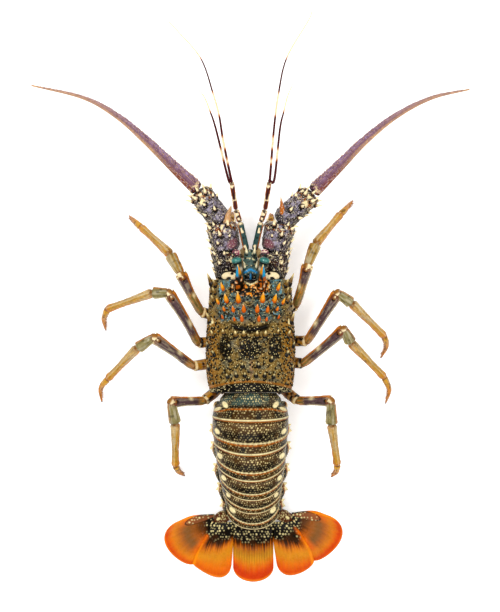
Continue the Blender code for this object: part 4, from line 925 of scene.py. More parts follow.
# Two spines on each side, each from its foot to its tip.
PLATE_SPINES = (((4.0, -21.0, 50.0), (5.2, -27.0, 54.0)), ((2.6, -32.0, 50.0), (3.6, -38.5, 54.0)))
plate_feet, plate_tips = np.concatenate([
    np.array(PLATE_SPINES).swapaxes(0, 1) * (side, 1, 1) for side in (1, -1)], axis=1)
plate_ways = plate_tips - plate_feet
plate_layers = (
    ("black", BLACK), ("cream", "d4c592"), ("blue", "2185bc"), ("pale", "e5d8af"), ("ring", BLACK),
)
plate_finish = chitin("plate", "3a4e46", plate_layers, mottle=(600.0, 0.4), rough=(0.18, 0.32))
plate_parts = [
    tube(plate_rings, **plate_masks),
    studs(plate_feet, plate_ways, np.linalg.norm(plate_ways, axis=1), 1.3, THORN, sides=12,
          pale=(0.1, 0.35, 1.0), ring=(0.14, 0.04, 1.0)),
]
piece("antennule_plate", plate_parts, plate_finish, ["antennular_plate"])

# %% [markdown]
# ## Antennae
# Three thick segments carry each long feeler. A segment is a ring carried from
# joint to joint with rounded ends, swollen towards its far margin. It bears
# cream spines on black rings, and a skin of granules.

# %% Segments of the antennae
PEDUNCLE_JOINTS = {
    "left": ((18.0, -12.6, 38.0), (18.0, -34.5, 38.0), (21.8, -56.0, 39.0), (39.4, -80.3, 41.0)),
    "right": ((18.0, -12.6, 38.0), (18.0, -34.5, 38.0), (22.6, -56.0, 39.0), (46.6, -78.4, 41.0)),
}
PEDUNCLE_HALF_WIDTHS = (9.4, 10.4, 11.4, 10.6, 9.8, 7.6)
PEDUNCLE_HALF_HEIGHTS = (10.4, 11.4, 11.8, 11.0, 10.2, 7.8)
# The spines of the three segments: share along, turn in degrees and length.
PEDUNCLE_SPINES = (
    ((0.55, 60.0, 4.0), (0.6, 110.0, 3.0), (0.6, 10.0, 4.0), (0.25, 20.0, 3.4), (0.3, 90.0, 3.2),
     (0.35, -12.0, 3.6), (0.88, -8.0, 4.5), (0.86, 35.0, 4.0), (0.88, 82.0, 3.6), (0.86, 130.0, 3.6)),
    ((0.84, 40.0, 5.6), (0.6, 76.0, 6.0), (0.88, 112.0, 5.6), (0.7, -15.0, 4.6), (0.35, 60.0, 4.2),
     (0.2, 8.0, 4.2), (0.45, 12.0, 4.6), (0.5, -18.0, 4.0), (0.52, 112.0, 3.2), (0.92, 4.0, 4.6),
     (0.95, 55.0, 4.2), (0.95, 112.0, 3.8), (0.93, 165.0, 3.6)),
    ((0.85, 15.0, 6.2), (0.85, 60.0, 6.6), (0.85, 110.0, 6.6), (0.85, 160.0, 5.6), (0.4, 40.0, 4.8),
     (0.4, 100.0, 4.8), (0.2, 10.0, 4.4), (0.5, -10.0, 4.6), (0.62, 5.0, 4.8), (0.62, 75.0, 4.4),
     (0.68, 138.0, 4.0), (0.95, -8.0, 4.6), (0.96, 38.0, 4.4), (0.97, 85.0, 4.6), (0.96, 132.0, 4.4),
     (0.6, 172.0, 4.2)),
)
INNER_SPINES = {
    "left": ((17.4, -58.5, 44.0), (14.2, -69.0, 48.0)), "right": ((24.6, -59.5, 44.0), (22.6, -75.5, 49.0)),
}
SEGMENT_SWELL = (
    (0, 0.66), (0.08, 0.8), (0.2, 0.93), (0.4, 0.97), (0.6, 1.0), (0.85, 1.08), (0.94, 0.98), (1, 0.74),
)
INNER_SPINE_GIRTH = 2.6
SEGMENT_ROWS, SEGMENT_COLUMNS = 72, 150
peduncle_layers = (
    ("lavender", "877f90"), ("rose", "74474e"), ("dark", "0e0806"), ("orange", "a8590f"), ("cream", "ead6a2"),
    ("pale", "f2dfae"), ("ring", BLACK), ("point", "ddcfae"),
)
SKIN_RADIUS, SKIN_PITCH = 10.5, 1.2
peduncle_finish = chitin(
    "peduncle", "352a2c", peduncle_layers, blotch=(240.0, "1c1414"), mottle=(420.0, 0.4),
    specks=((620.0, 0.24, "dccfb4"), (900.0, 0.2, "cdc2cc")), rough=(0.2, 0.36), coat=0.1,
)


def segment_surface(start, end, sizes, seed):
    """Rings of one antenna segment, with its shares along, turns, and millimetres both ways."""
    t = np.linspace(0, 1, SEGMENT_ROWS)
    line = start + (end - start) * t[:, None]
    swell = np.interp(t, *zip(*SEGMENT_SWELL))
    width, height = (np.interp(t, (0, 1), pair) * swell * rounded(t, 0.08, 0.06) for pair in sizes)
    turns = around(SEGMENT_COLUMNS)
    s, w = t[:, None] * np.linalg.norm(end - start), turns[None] * 10
    relief = 0.9 * (field(s, w, 3.0, seed) - 0.5) + 0.4 * (field(s, w, 1.1, seed + 1) - 0.5)
    relief = relief * rounded(t, 0.1, 0.1)[:, None] - 0.6 * bell(s, s[-1] * 0.93, 0.5)
    return carried(line, width, height, turns, relief), t[:, None], turns[None], s, w


def on_grid(grid, t, turn):
    """The points and outward directions of a ring grid at shares along it and turns round it."""
    rows, columns = grid.shape[:2]
    i = np.clip(np.round(t * (rows - 1)).astype(int), 1, rows - 2)
    j = np.round(turn / (2 * np.pi) * columns).astype(int) % columns
    along = grid[i + 1, j] - grid[i - 1, j]
    across = grid[i, (j + 1) % columns] - grid[i, j - 1]
    out = unit(np.cross(across, along))
    outward = grid[i, j] - grid[i].mean(axis=1)
    return grid[i, j], out * np.sign((out * outward).sum(axis=-1, keepdims=True))


print("the stems bear", 2 * sum(len(spines) for spines in PEDUNCLE_SPINES), "spines")

# %% [markdown]
# The markings of a segment: lavender over a granular dark ground on its upper
# inner side, a smooth rose pad near the head, and a far end crusted with cream
# and black. Each spine is black at its foot, and the dark discs round the feet of
# the largest spines are painted shadow of those spines.

# %% Build the antenna segments
for label, side in (("left", 1), ("right", -1)):
    joints = np.array(PEDUNCLE_JOINTS[label]) * (side, 1, 1)
    for number, name in enumerate(("base", "middle", "end")):
        start, end = joints[number], joints[number + 1]
        direction = unit(end - start)
        start = start - direction * (0 if number == 0 else 1.6)
        length = np.linalg.norm(end - start)
        pair = slice(2 * number, 2 * number + 2)
        sizes = PEDUNCLE_HALF_WIDTHS[pair], PEDUNCLE_HALF_HEIGHTS[pair]
        seed = 40 + 10 * number + (side > 0) * 3
        grid, t, turn, s, w = segment_surface(start, end, sizes, seed)
        outer, upper = np.cos(turn) * -side, np.sin(turn)
        places = np.array(PEDUNCLE_SPINES[number])
        angle = np.radians(places[:, 1])
        thorn_turn = angle % (2 * np.pi) if side < 0 else (np.pi - angle) % (2 * np.pi)
        feet, out = on_grid(grid, places[:, 0], thorn_turn)
        near = np.linalg.norm(grid[:, :, None] - feet, axis=-1)
        # Dark discs round the feet of the spines longer than 4.3 mm: painted shadow of those spines.
        rings = (soft(3.1, 2.4, near) * (places[:, 2] > 4.3)).max(axis=-1)
        spots, wide = field(s, w, 1.3 if number else 1.0, seed + 2), field(s, w, 3.2, seed + 3)
        crust = soft(0.62, 0.78, t) if number else 0.75 * soft(0.2, 0.4, t) * soft(0.3, 0.6, wide)
        across, back = grid[..., 0] - side * 13.0, grid[..., 1] + 40.0
        pad = np.hypot((across * side + 0.6 * back) / 6.0, (back - 0.6 * across * side) / 4.0)
        joint = most(soft(0.15, 0.1, t) * (number > 0), soft(0.945, 0.97, t))
        inner = soft(0.9, 0.4, outer) * soft(-0.1, 0.4, upper)
        fleck = soft(0.31, 0.26, spots) * most(crust, 0.6 * soft(0.7, 0.9, outer))
        island = spot(t, outer, (0.7, 0.3), (0.1, 0.26)) * (upper > 0)
        far_end = most(soft(0.5, 0.56, wide) * soft(0.8, 0.9, t), island) * (number == 2)
        # Painted shadow discs round the big spines, joined with dark flecks on the crust and the outer side.
        shadow_discs_and_flecks = most(rings, soft(0.44, 0.52, spots) * most(crust, soft(0.75, 0.95, outer)))
        masks = {
            "ring": joint * (0.75 + 0.25 * soft(0.4, 0.6, spots)),
            "lavender": inner * soft(0.15, 0.5, wide) * soft(0.85, 0.15, spots) * (number > 0),
            "rose": soft(1.3, 0.6, pad) * soft(0.3, 0.6, upper) * (number == 1),
            "dark": shadow_discs_and_flecks if number else 0.75,
            "orange": soft(0.6, 0.66, spots) * crust * (0.5 if number else 0.15),
            "cream": most(fleck, far_end) * (1 - rings),
        }
        size = places[:, 2]
        spines = studs(feet - out * 0.3, out * 0.75 + direction * 0.75, size, 0.55 + 0.13 * size, THORN,
                       sides=14, pale=(0.12, 0.35, 1.0), ring=(0.18, 0.05, 1.0), orange=(0.75, 0.2, 0.35))
        parts = [tube(grid, **masks), spines]
        if number == 2:
            foot, tip = (np.array(point) * (side, 1, 1) for point in INNER_SPINES[label])
            parts.append(studs(
                [foot], [tip - foot], np.linalg.norm(tip - foot), INNER_SPINE_GIRTH, THORN, sides=24,
                orange=0.9, cream=0.3 * (side > 0), pale=(0.7, 1.0, 0.7), dark=(0.3, 0.0, 0.6),
            ))
        spread, draw = honeycomb(SKIN_PITCH, 2 * np.pi * SKIN_RADIUS, length - 2 * SKIN_PITCH, seed + 4)
        grain_t, grain_turn = (spread[:, 1] + SKIN_PITCH) / length, spread[:, 0] / SKIN_RADIUS
        grain_feet, grain_out = on_grid(grid, grain_t, grain_turn)
        clear = clear_of(grain_feet, feet, 1.8)
        size = 0.2 + 0.26 * draw.random(len(grain_feet)) ** 2
        i = (grain_t * (SEGMENT_ROWS - 1)).astype(int) % SEGMENT_ROWS
        j = (grain_turn / (2 * np.pi) * SEGMENT_COLUMNS).astype(int) % SEGMENT_COLUMNS
        under = {key: np.broadcast_to(mask, grid.shape[:2])[i, j][clear] for key, mask in masks.items()}
        size = size[clear] * (1 - 0.95 * most(under["rose"], under["ring"]))
        light = 0.85 * (draw.random(len(size)) < (0.6 if number else 0.3))
        parts.append(studs(grain_feet[clear], (grain_out + direction * 0.4)[clear], size * 1.1, size, GRANULE,
                           sides=5, point=(0.3, 0.8, light), **under))
        node = f"antenna_{label}_{name}"
        piece(f"{node}_form", parts, peduncle_finish, [node])

# %% [markdown]
# ## Long feelers
# A feeler is ringed from end to end by hundreds of narrow joints, with rows of
# tiny spines along it. The rings are a wave in the radius along the path.

# %% Long feelers
FLAGELLUM_ROUTES = {
    "left": ((39.4, -80.3, 41.0), (59.4, -99.2, 46.0), (78.4, -117.3, 51.0), (99.6, -135.2, 55.0),
             (124.9, -149.0, 58.0), (164.0, -158.3, 60.0)),
    "right": ((46.6, -78.4, 41.0), (67.4, -98.9, 46.0), (85.9, -117.3, 51.0), (108.6, -135.2, 55.0),
              (135.0, -148.7, 58.0), (164.0, -155.4, 60.0)),
}
RING_LENGTH = 1.5
FEELER_ROWS = 620
SPINULE_TURNS = (12.0, 60.0, 120.0)
SPINULE = ((-0.4, 1.0), (0.15, 0.8), (0.6, 0.4), (1.0, 0.0))
flagellum_layers = (
    ("lilac", "9b82a6"), ("warm", "7c3d20"), ("tan", "c79c6c"), ("dark", "251214"), ("cream", "d9c194"),
    ("groove", "331d29"),
)
flagellum_finish = chitin("flagellum", "664859", flagellum_layers, mottle=(500.0, 0.3), rough=(0.28, 0.42),
                          coat=0.05)
for label, side in (("left", 1), ("right", -1)):
    route = through(np.array(FLAGELLUM_ROUTES[label]) * (side, 1, 1), FEELER_ROWS)
    t = np.linspace(0, 1, FEELER_ROWS)[:, None]
    length = far_along(route)
    phase = (length / (RING_LENGTH * (1 - 0.35 * t))) % 1
    radius = (0.6 + 4.1 * (1 - t)) * (1 + 0.15 * np.exp(-t / 0.17))
    radius[:12] *= rounded(t[:12] * 20, 0.3, 0.001)
    turn = around(26)
    ring_step = radius * (0.05 * phase - 0.07 * soft(0.85, 1.0, phase) - 0.02)
    grid = carried(route, radius[:, 0], radius[:, 0], turn, ring_step)
    outer = np.cos(turn)[None] * -side
    cloudy = soft(0.2, 0.7, field(length, turn[None] * 4, 1.4, 74))
    masks = {
        "lilac": soft(0.2, -0.7, outer) * cloudy * soft(0.02, 0.12, t),
        "warm": soft(0.1, 0.75, outer) * soft(0.4, 0.1, t) + 0.15 * (1 - t),
        "tan": most(soft(0.4, 1.0, t) * 0.8, soft(0.0, 0.6, outer) * soft(0.1, 0.4, t)),
        "dark": soft(0.05, 0.02, t) * soft(0.4, 0.6, field(length, turn[None] * 4, 1.6, 71)),
        "cream": soft(0.05, 0.03, t) * soft(0.5, 0.35, field(length, turn[None] * 4, 1.6, 72)),
        "groove": soft(0.82, 0.95, phase) * 0.7,
    }
    draw = np.random.default_rng(73)
    step = np.arange(14, 600, 2)
    rows_of = np.repeat(step, len(SPINULE_TURNS))
    turns = [turn if side > 0 else 180.0 - turn for turn in SPINULE_TURNS]
    turn_of = np.tile(np.radians(turns), len(step))
    turn_of = turn_of + draw.uniform(-0.3, 0.3, len(turn_of))
    share_of = rows_of / (FEELER_ROWS - 1)
    feet, out = on_grid(grid, share_of, turn_of)
    along = unit(np.gradient(route, axis=0))[rows_of]
    size = (0.7 + 1.0 * (1 - share_of)) * draw.uniform(0.6, 1.2, len(turn_of))
    spinules = studs(feet, out + along * 1.1, size, size * 0.3, SPINULE, sides=5,
                     lilac=0.5, tan=(0.1, 0.6, 0.9))
    piece(f"flagellum_{label}", [tube(grid, **masks), spinules], flagellum_finish,
          [f"flagellum_{label}_inner", f"flagellum_{label}_outer"])

# %% [markdown]
# ## Antennules
# The antennules are a three-jointed stem and two thin whips, ringed in maroon
# black and cream. The bands are a square wave of the length along the whip.

# %% Antennules
ANTENNULE_STEM = ((3.0, -35.0, 49.0), (7.9, -56.2, 52.0), (10.9, -65.2, 54.0), (14.2, -86.5, 58.0))
ANTENNULE_STEM_RADII = (2.6, 2.1, 1.9, 1.6)
WHIP_RING = 0.9
# The pale bands of the whips begin and end this far ahead of the middle. The last one is the faint tip.
WHIP_BANDS = {
    "long": ((99.8, 103.5), (111.0, 120.0), (135.8, 153.0), (178.5, 300.0)),
    "short": ((102.8, 111.0), (138.8, 300.0)),
}
ANTENNULE_LONG = {
    "left": ((14.2, -86.9, 58.4), (14.7, -88.9, 59.0), (20.6, -117.8, 62.5), (23.5, -135.8, 64.5),
             (28.1, -152.5, 66.0), (37.3, -178.5, 68.0), (55.9, -200.3, 69.5), (62.0, -206.5, 70.0)),
    "right": ((14.2, -86.9, 58.4), (14.6, -89.3, 59.0), (17.5, -125.3, 63.0), (20.9, -151.7, 66.0),
              (27.0, -178.5, 68.0), (43.1, -206.3, 69.5), (46.1, -213.8, 70.0)),
}
ANTENNULE_SHORT = {
    "left": ((14.6, -86.4, 57.4), (16.9, -89.3, 57.0), (25.8, -125.3, 57.5), (30.0, -138.3, 57.8),
             (34.9, -150.2, 58.0), (40.4, -156.3, 58.0)),
    "right": ((14.6, -86.4, 57.4), (18.0, -89.0, 57.0), (22.0, -125.3, 57.5), (24.8, -138.3, 57.8),
              (27.8, -150.2, 58.0), (31.7, -159.4, 58.0)),
}
antennule_layers = (
    ("maroon", "400a0c"), ("orange", "a5550d"), ("cream", "dfc89e"), ("black", BLACK), ("faint", "dccf9c"),
)
antennule_finish = chitin("antennule", "253e3c", antennule_layers, mottle=(600.0, 0.3), rough=(0.2, 0.34),
                          coat=0.05)
for label, side in (("left", 1), ("right", -1)):
    joints = np.array(ANTENNULE_STEM) * (side, 1, 1)
    stem_parts = []
    for number in range(3):
        t = np.linspace(0, 1, 60)
        line = joints[number] + (joints[number + 1] - joints[number]) * t[:, None]
        r = np.interp(t, (0, 0.12, 0.5, 0.9, 1), (0.75, 0.95, 1.0, 1.12, 0.95)) * rounded(t, 0.06, 0.05)
        r = r * np.interp(t, (0, 1), ANTENNULE_STEM_RADII[number : number + 2])
        turn = around(28)
        outer = np.cos(turn)[None] * -side
        t = t[:, None]
        spots = field(t * 22, turn[None] * 2, 2.2, 80 + number)
        few = (0.8, 0.5, 0.68)[number]
        masks = {
            "orange": soft(0.5, 0.8, outer if number == 0 else np.abs(outer)) * 0.85,
            "maroon": (0.0, 0.5, 0.9)[number],
            "cream": most(soft(few, few + 0.08, spots), bell(t, 0.97, 0.05) * 0.9),
            "black": soft(0.28, 0.2, spots) * 0.8,
        }
        stem_parts.append(tube(carried(line, r, r * 0.95, turn), **masks))
    piece(f"antennule_{label}_foot", stem_parts, antennule_finish, [f"antennule_{label}_stem"])
    for kind, routes, rows in (("long", ANTENNULE_LONG, 500), ("short", ANTENNULE_SHORT, 320)):
        route = through(np.array(routes[label]) * (side, 1, 1), rows)
        t = np.linspace(0, 1, rows)[:, None]
        radius = (0.3 + 0.85 * (1 - t)) * (1 - 0.06 * soft(0.6, 1, (far_along(route) / WHIP_RING) % 1))
        turn = around(14)
        ahead = -route[:, 1:2]
        bands = WHIP_BANDS[kind]
        pale = sum(soft(low - 0.6, low + 0.6, ahead) * soft(high + 0.6, high - 0.6, ahead)
                   for low, high in bands)
        seam = sum(bell(ahead, limit, 1.1) for limit in np.ravel(bands))
        grid = carried(route, radius[:, 0], radius[:, 0], turn)
        masks = {"maroon": 1.0, "orange": 0.85 * seam, "cream": pale * (1 - 0.6 * seam),
                 "faint": soft(bands[-1][0], bands[-1][0] + 5, ahead)}
        node = f"antennule_{label}_{kind}"
        piece(f"{node}_whip", [tube(grid, **masks)], antennule_finish, [node])
# %% [markdown]
# ## Legs
# Each leg has six hard segments: coxa, ischium, merus, carpus, propodus and
# dactyl. Each one is a ring carried from joint to joint with a profile of its
# own, and a soft ribbed membrane fills every joint. The plans are the solids'.

# %% Plans of the legs
LEG_ROOT_Y = (6.0, 19.0, 33.0, 47.0, 61.0)
LEG_HEIGHTS = (
    (18.5, 19.5, 20.5, 20.0, 9.0, 4.5, 0.0), (28.5, 40.5, 50.0, 48.0, 16.0, 8.0, 0.0),
    (29.5, 45.0, 58.0, 56.0, 19.0, 9.5, 0.0), (29.5, 43.5, 56.0, 53.0, 19.0, 9.5, 0.0),
    (27.0, 35.5, 43.0, 40.0, 13.0, 6.5, 0.0),
)
LEG_PLANS = {
    (1, "left"): ((20.5, 1.0), (22.5, -14.0), (23.5, -30.0), (20.5, -41.0), (14.5, -58.0), (13.8, -61.5),
                  (13.5, -64.0)),
    (1, "right"): ((-20.5, 1.0), (-22.5, -14.0), (-23.5, -29.0), (-20.5, -40.0), (-15.5, -57.0),
                   (-15.1, -60.5), (-15.0, -63.0)),
    (2, "left"): ((37.2, 11.3), (45.2, -3.0), (52.1, -17.3), (60.4, -32.3), (82.1, -52.5), (87.5, -57.5),
                  (91.6, -61.5)),
    (2, "right"): ((-34.2, 6.0), (-39.2, -10.0), (-42.6, -23.6), (-49.0, -40.0), (-67.7, -62.3),
                   (-73.0, -68.0), (-77.3, -72.8)),
    (3, "left"): ((39.5, 34.3), (48.4, 17.6), (61.2, -3.2), (73.5, -3.0), (107.6, 9.0), (110.3, 17.0),
                  (108.7, 25.5)),
    (3, "right"): ((-42.5, 33.0), (-52.1, 18.0), (-65.3, -3.0), (-75.8, 4.7), (-100.4, 29.3), (-102.2, 37.0),
                   (-97.7, 46.2)),
    (4, "left"): ((43.1, 51.8), (56.6, 41.6), (72.4, 30.2), (84.8, 38.3), (107.2, 61.4), (112.7, 68.8),
                  (111.8, 79.5)),
    (4, "right"): ((-39.4, 49.9), (-54.4, 38.0), (-70.0, 24.2), (-75.2, 34.3), (-100.4, 60.2), (-104.3, 70.0),
                   (-101.4, 80.5)),
    (5, "left"): ((34.9, 78.0), (47.0, 78.2), (59.6, 78.8), (56.4, 95.0), (56.4, 126.8), (54.0, 131.5),
                  (49.1, 134.6)),
    (5, "right"): ((-35.6, 78.0), (-48.0, 77.8), (-60.4, 78.0), (-60.9, 95.9), (-65.2, 126.0), (-64.5, 131.5),
                   (-60.4, 135.5)),
}
print("the widest foot is", max(abs(plan[-1][0]) for plan in LEG_PLANS.values()), "from the midline")

# %% [markdown]
# A segment's profile says how thick it is along its length, as shares of the
# leg's own radius: the thigh flares to its knee, the shin is thinnest in its
# middle. Its colours are bands along it and stripes round it. Streaks come from
# a random field that is stretched along the leg, as the real ones run.

# %% Segments of the legs
SEGMENT_FORMS = {
    "coxa": ((0, 0.9), (0.3, 1.05), (0.7, 1.0), (0.9, 1.08), (1, 1.0)),
    "ischium": ((0, 0.8), (0.25, 0.95), (0.8, 1.0), (0.92, 1.05), (1, 0.9)),
    "merus": ((0, 0.76), (0.08, 0.84), (0.35, 0.88), (0.65, 0.96), (0.88, 1.1), (0.95, 1.16), (1, 0.95)),
    "carpus": ((0, 0.74), (0.2, 0.92), (0.55, 1.04), (0.85, 1.14), (0.95, 1.1), (1, 0.88)),
    "propodus": ((0, 0.88), (0.05, 1.12), (0.2, 1.05), (0.6, 0.84), (0.85, 0.9), (0.94, 1.05), (1, 0.86)),
    "dactyl": ((0, 0.85), (0.1, 1.02), (0.35, 0.98), (0.7, 0.86), (0.9, 0.66), (1, 0.3)),
}
leg_layers = (
    ("olive", "6f673c"), ("tan", "bd871a"), ("purple", "46343c"), ("brown", "6b3410"), ("orange", "bf6c0c"),
    ("grey", "a1977a"), ("pale", "ecd9a4"), ("dark", "120802"),
)
leg_finish = chitin("leg", "9f741e", leg_layers, mottle=(420.0, 0.3), specks=((520.0, 0.1, "dcc68a"),),
                    rough=(0.2, 0.34), bump=0.08, coat=0.3)
membrane_finish = chitin("membrane", "8f5e26", (("groove", "3c2008"), ("cream", "f0dfb4")),
                         mottle=(500.0, 0.3), rough=(0.35, 0.5), coat=0.05)


def leg_segment(form, points, radii, side, seed, number):
    """One closed segment along its joints, with masks for bands along and stripes round it."""
    points = np.asarray(points, float)
    length = np.linalg.norm(np.diff(points, axis=0), axis=1).sum()
    rows = max(24, int(length / 0.5))
    path = through(points, rows)
    t = np.linspace(0, 1, rows)
    swell = np.interp(t, *zip(*SEGMENT_FORMS[form]))
    caps = (0.4 * radii[0] / length, 0.4 * radii[-1] / length)
    radius = np.interp(t, np.linspace(0, 1, len(radii)), radii) * swell * rounded(t, *caps)
    turn = around(36)
    s, w = t[:, None] * length, turn[None] * 4
    relief = 0.25 * (field(s, w, 2.2, seed) - 0.5) + 0.16 * (field(s / 3, w, 0.9, seed + 1) - 0.5)
    keel = 0.3 * bell(np.abs(np.cos(turn)), 1.0, 0.12)[None] * (form in ("merus", "carpus", "propodus"))
    grid = carried(path, radius, radius * 1.1, turn, (relief + keel) * rounded(t, 0.1, 0.1)[:, None])
    t, front, top = t[:, None], np.cos(turn)[None] * side, np.sin(turn)[None]
    spots, streak = field(s, w, 2.2, seed + 2), field(s / 7, w, 0.9, seed + 3)
    edge = soft(0.6, 0.85, front)
    back = soft(0.7, 0.92, -front)
    end = soft(1 - 2.2 / length, 1 - 1.4 / length, t)
    masks = {"grey": soft(0.62, 0.8, streak) * 0.4}
    if form in ("coxa", "ischium"):
        masks.update(brown=soft(0.4, 0.55, spots) * 0.9, dark=soft(0.6, 0.68, spots), pale=end * 0.6,
                     orange=soft(0.2, 0.8, top) * soft(0.5, 0.35, spots) * 0.3)
    elif form == "merus":
        deep = soft(0.1, 0.3, t) if number > 2 else soft(0.45, 0.6, t)
        band = bell(t, 0.46, 0.06) * soft(-0.1, 0.6, front) * 0.8
        masks.update(
            purple=deep * soft(-0.6, -0.1, top) * 0.95, olive=(1 - deep) * soft(-0.2, 0.5, top) * 0.8,
            orange=most(edge * 0.95, (1 - deep) * soft(0.5, 0.6, streak) * 0.7),
            pale=most(band, end * back, back * 0.5 * soft(0.25, 0.4, t)),
            brown=soft(0.86, 0.94, t) * soft(0.1, 0.7, top) * 0.85, dark=bell(streak, 0.24, 0.06) * 0.45,
        )
    elif form == "carpus":
        masks.update(
            olive=0.95 if number > 2 else 0.35, brown=soft(0.22, 0.04, t), orange=edge * 0.5,
            grey=soft(0.45, 0.75, streak) * 0.7, pale=end * back * 0.8 + back * 0.3,
            dark=soft(0.72, 0.78, spots) * 0.5,
        )
    elif form == "propodus":
        masks.update(
            tan=0.6, olive=soft(-0.3, 0.4, front) * soft(0.95, 0.7, t) * (0.85 if number > 2 else 0.45),
            dark=bell(streak, 0.25, 0.06) * 0.45, orange=most(back * 0.9, soft(0.8, 0.98, t) * 0.5),
            grey=soft(0.5, 0.8, streak) * 0.6 * soft(0.8, 0.4, t),
            # A pale stripe along the front of the propodus is a painted highlight; the pale start on legs
            # three to five is their colour.
            pale=most(0.35 * bell(front, 0.35, 0.14), 0.15 * soft(0.4, 0.05, t) * (number > 2)),
            brown=most(soft(0.06, 0.02, t), soft(0.9, 0.97, t)) * 0.6,
        )
    else:
        masks.update(brown=soft(0.62, 0.95, t) * 0.85, tan=soft(0.6, 0.3, t), orange=soft(0.1, 0.5, t) * 0.7,
                     dark=most(soft(0.9, 0.99, t), soft(0.66, 0.72, spots) * 0.6))
    return tube(grid, **masks)


def membrane(point, direction, radius, side, cream):
    """A short bellows of three soft folds across a joint, cream on its hinder side."""
    t = np.linspace(-1, 1, 19)
    path = point + t[:, None] * unit(direction) * radius * 0.62
    size = radius * (0.86 + 0.035 * np.cos(t * 9)) * np.sqrt(np.clip(1.02 - t**2 * 0.35, 0, 1))
    fold = (0.5 - 0.5 * np.cos(t * 9))[:, None] * 0.7
    hinder = soft(-0.2, 0.35, -np.cos(around(28)) * side)[None]
    rings = carried(path, size, size * 1.1, around(28))
    return tube(rings, groove=fold * (1 - 0.6 * cream), cream=cream * hinder)


# %% Build the legs
HAIR = ((-0.2, 1.0), (0.5, 0.7), (1.0, 0.0))
HAIRS = 150
hair_finish = chitin("hair", "9c6014", mottle=(500.0, 0.3), rough=(0.4, 0.5), coat=0.05)
for (number, label), plan in LEG_PLANS.items():
    side = 1 if label == "left" else -1
    joints = np.column_stack([plan, LEG_HEIGHTS[number - 1]])
    ischium, thigh, knee, wrist, ankle, claw, tip = joints
    root_y = LEG_ROOT_Y[number - 1]
    root = np.array((side * (6.0 + 11.0 * root_y / 70 - 2.0), root_y, 19.8))
    coxa = root + (ischium - root) * (0.55, 0.55, 0.17)
    tip = tip + (0, 0, 0.45)
    seed = 100 + 20 * number + (side > 0) * 7
    shin, palm = (knee + wrist) / 2 + (0, 0, 0.5), (wrist + ankle) / 2 + (0, 0, 0.6)
    courses = (
        ("coxa", (root, (root + coxa) / 2, coxa), (4.7, 4.7)),
        ("ischium", (coxa, (coxa + ischium) / 2, ischium), (4.5, 3.9)),
        ("merus", (ischium, thigh, knee), (3.7, 3.5, 3.8)),
        ("carpus", (knee, shin, wrist), (3.6, 3.7, 3.8)),
        ("propodus", (wrist, palm, ankle), (3.1, 2.9, 2.7)),
        ("dactyl", (ankle, claw, tip), (2.6, 1.8, 0.95)),
    )
    segments = [leg_segment(*course, side, seed + 3 * k, number) for k, course in enumerate(courses)]
    upper, lower = segments[:3], segments[3:]
    if number > 1:
        along = unit(knee - thigh)
        up = np.cross(unit(np.cross(along, (0, 0, 1.0))), along)
        level = np.cross(along, up)
        above = thigh + (knee - thigh) * 0.86 + up * 3.8
        feet = [above, *(knee - along * 1.6 + level * 3.3 * way for way in (1, -1))]
        ways = [along + up / 2, *(along + level * 0.35 * way for way in (1, -1))]
        upper.append(studs(feet, ways, (4.2, 3.0, 3.0), (1.3, 0.9, 0.9), THORN, sides=12,
                           pale=(0.4, 0.8, 1.0), brown=0.8, dark=(0.2, 0.05, 1.0)))
    leg = f"leg_{number}_{label}"
    piece(f"{leg}_thigh", upper, leg_finish, [f"{leg}_upper"])
    piece(f"{leg}_shin", lower, leg_finish, [f"{leg}_lower"])
    soft_parts = [
        membrane(point, after - before, radius, side, cream) for point, before, after, radius, cream in (
            (coxa, root, ischium, 4.2, 0.3), (ischium, coxa, thigh, 3.1, 0.0), (knee, thigh, wrist, 3.5, 0.9),
            (wrist, knee, ankle, 2.7, 0.15), (ankle, wrist, tip, 2.4, 0.0),
        )
    ]
    piece(f"{leg}_joints", soft_parts, membrane_finish)
    draw = np.random.default_rng(seed)
    place = draw.uniform(0.05, 0.85, HAIRS)
    path = through((ankle, claw, tip), 60)
    row = (place * 59).astype(int)
    along = unit(np.gradient(path, axis=0))[row]
    level = unit(np.cross(along, (0, 0, 1.0)))
    sweep = draw.uniform(-1.0, 1.0, HAIRS)[:, None]
    out = unit(level * -side * np.cos(sweep) + np.array((0, 0, 1.0)) * np.sin(sweep))
    thick = np.interp(place, (0, 0.5, 1), (2.4, 1.7, 0.9))[:, None]
    size = draw.uniform(1.0, 2.0, HAIRS)
    hairs = studs(path[row] + out * thick * 0.85, out + along * 0.9, size, 0.1, HAIR, sides=4)
    piece(f"{leg}_hairs", [hairs], hair_finish)
# %% [markdown]
# ## Abdomen
# Six rings overlap like roof tiles. The planes between them are the solids',
# joined by a smooth curve. On each ring the front slides under the ring before,
# a groove crosses the middle, and the rear margin is a thin raised lip.

# %% Sections of the abdomen
# Place along and height of the crown, tilt in degrees, half width, height and depth of each plane.
ABDOMEN_PLANES = (
    (71.8, 66.0, 0.0, 24.0, 27.0, 8.0), (93.8, 64.4, 8.0, 28.4, 27.0, 8.0),
    (119.2, 57.7, 19.0, 26.8, 26.0, 8.0), (138.8, 49.0, 27.0, 24.8, 23.0, 8.0),
    (153.0, 40.4, 32.0, 22.4, 20.0, 7.0), (162.8, 33.8, 32.0, 20.3, 17.0, 6.0),
    (174.8, 26.0, 22.0, 17.4, 11.0, 5.0),
)
TABLE_ROWS = 601
plane_table = through(ABDOMEN_PLANES, TABLE_ROWS)


def drifted(points):
    """The points moved a little to the right, more towards the tail."""
    points = np.array(points, float)
    points[..., 0] -= 2.2 * soft(100, 190, points[..., 1])
    return points


# How far the sides of each ring lie ahead of its crown, in rings.
RING_BENDS = (0.0, 0.02, 0.13, 0.27, 0.42, 0.54, 0.4)


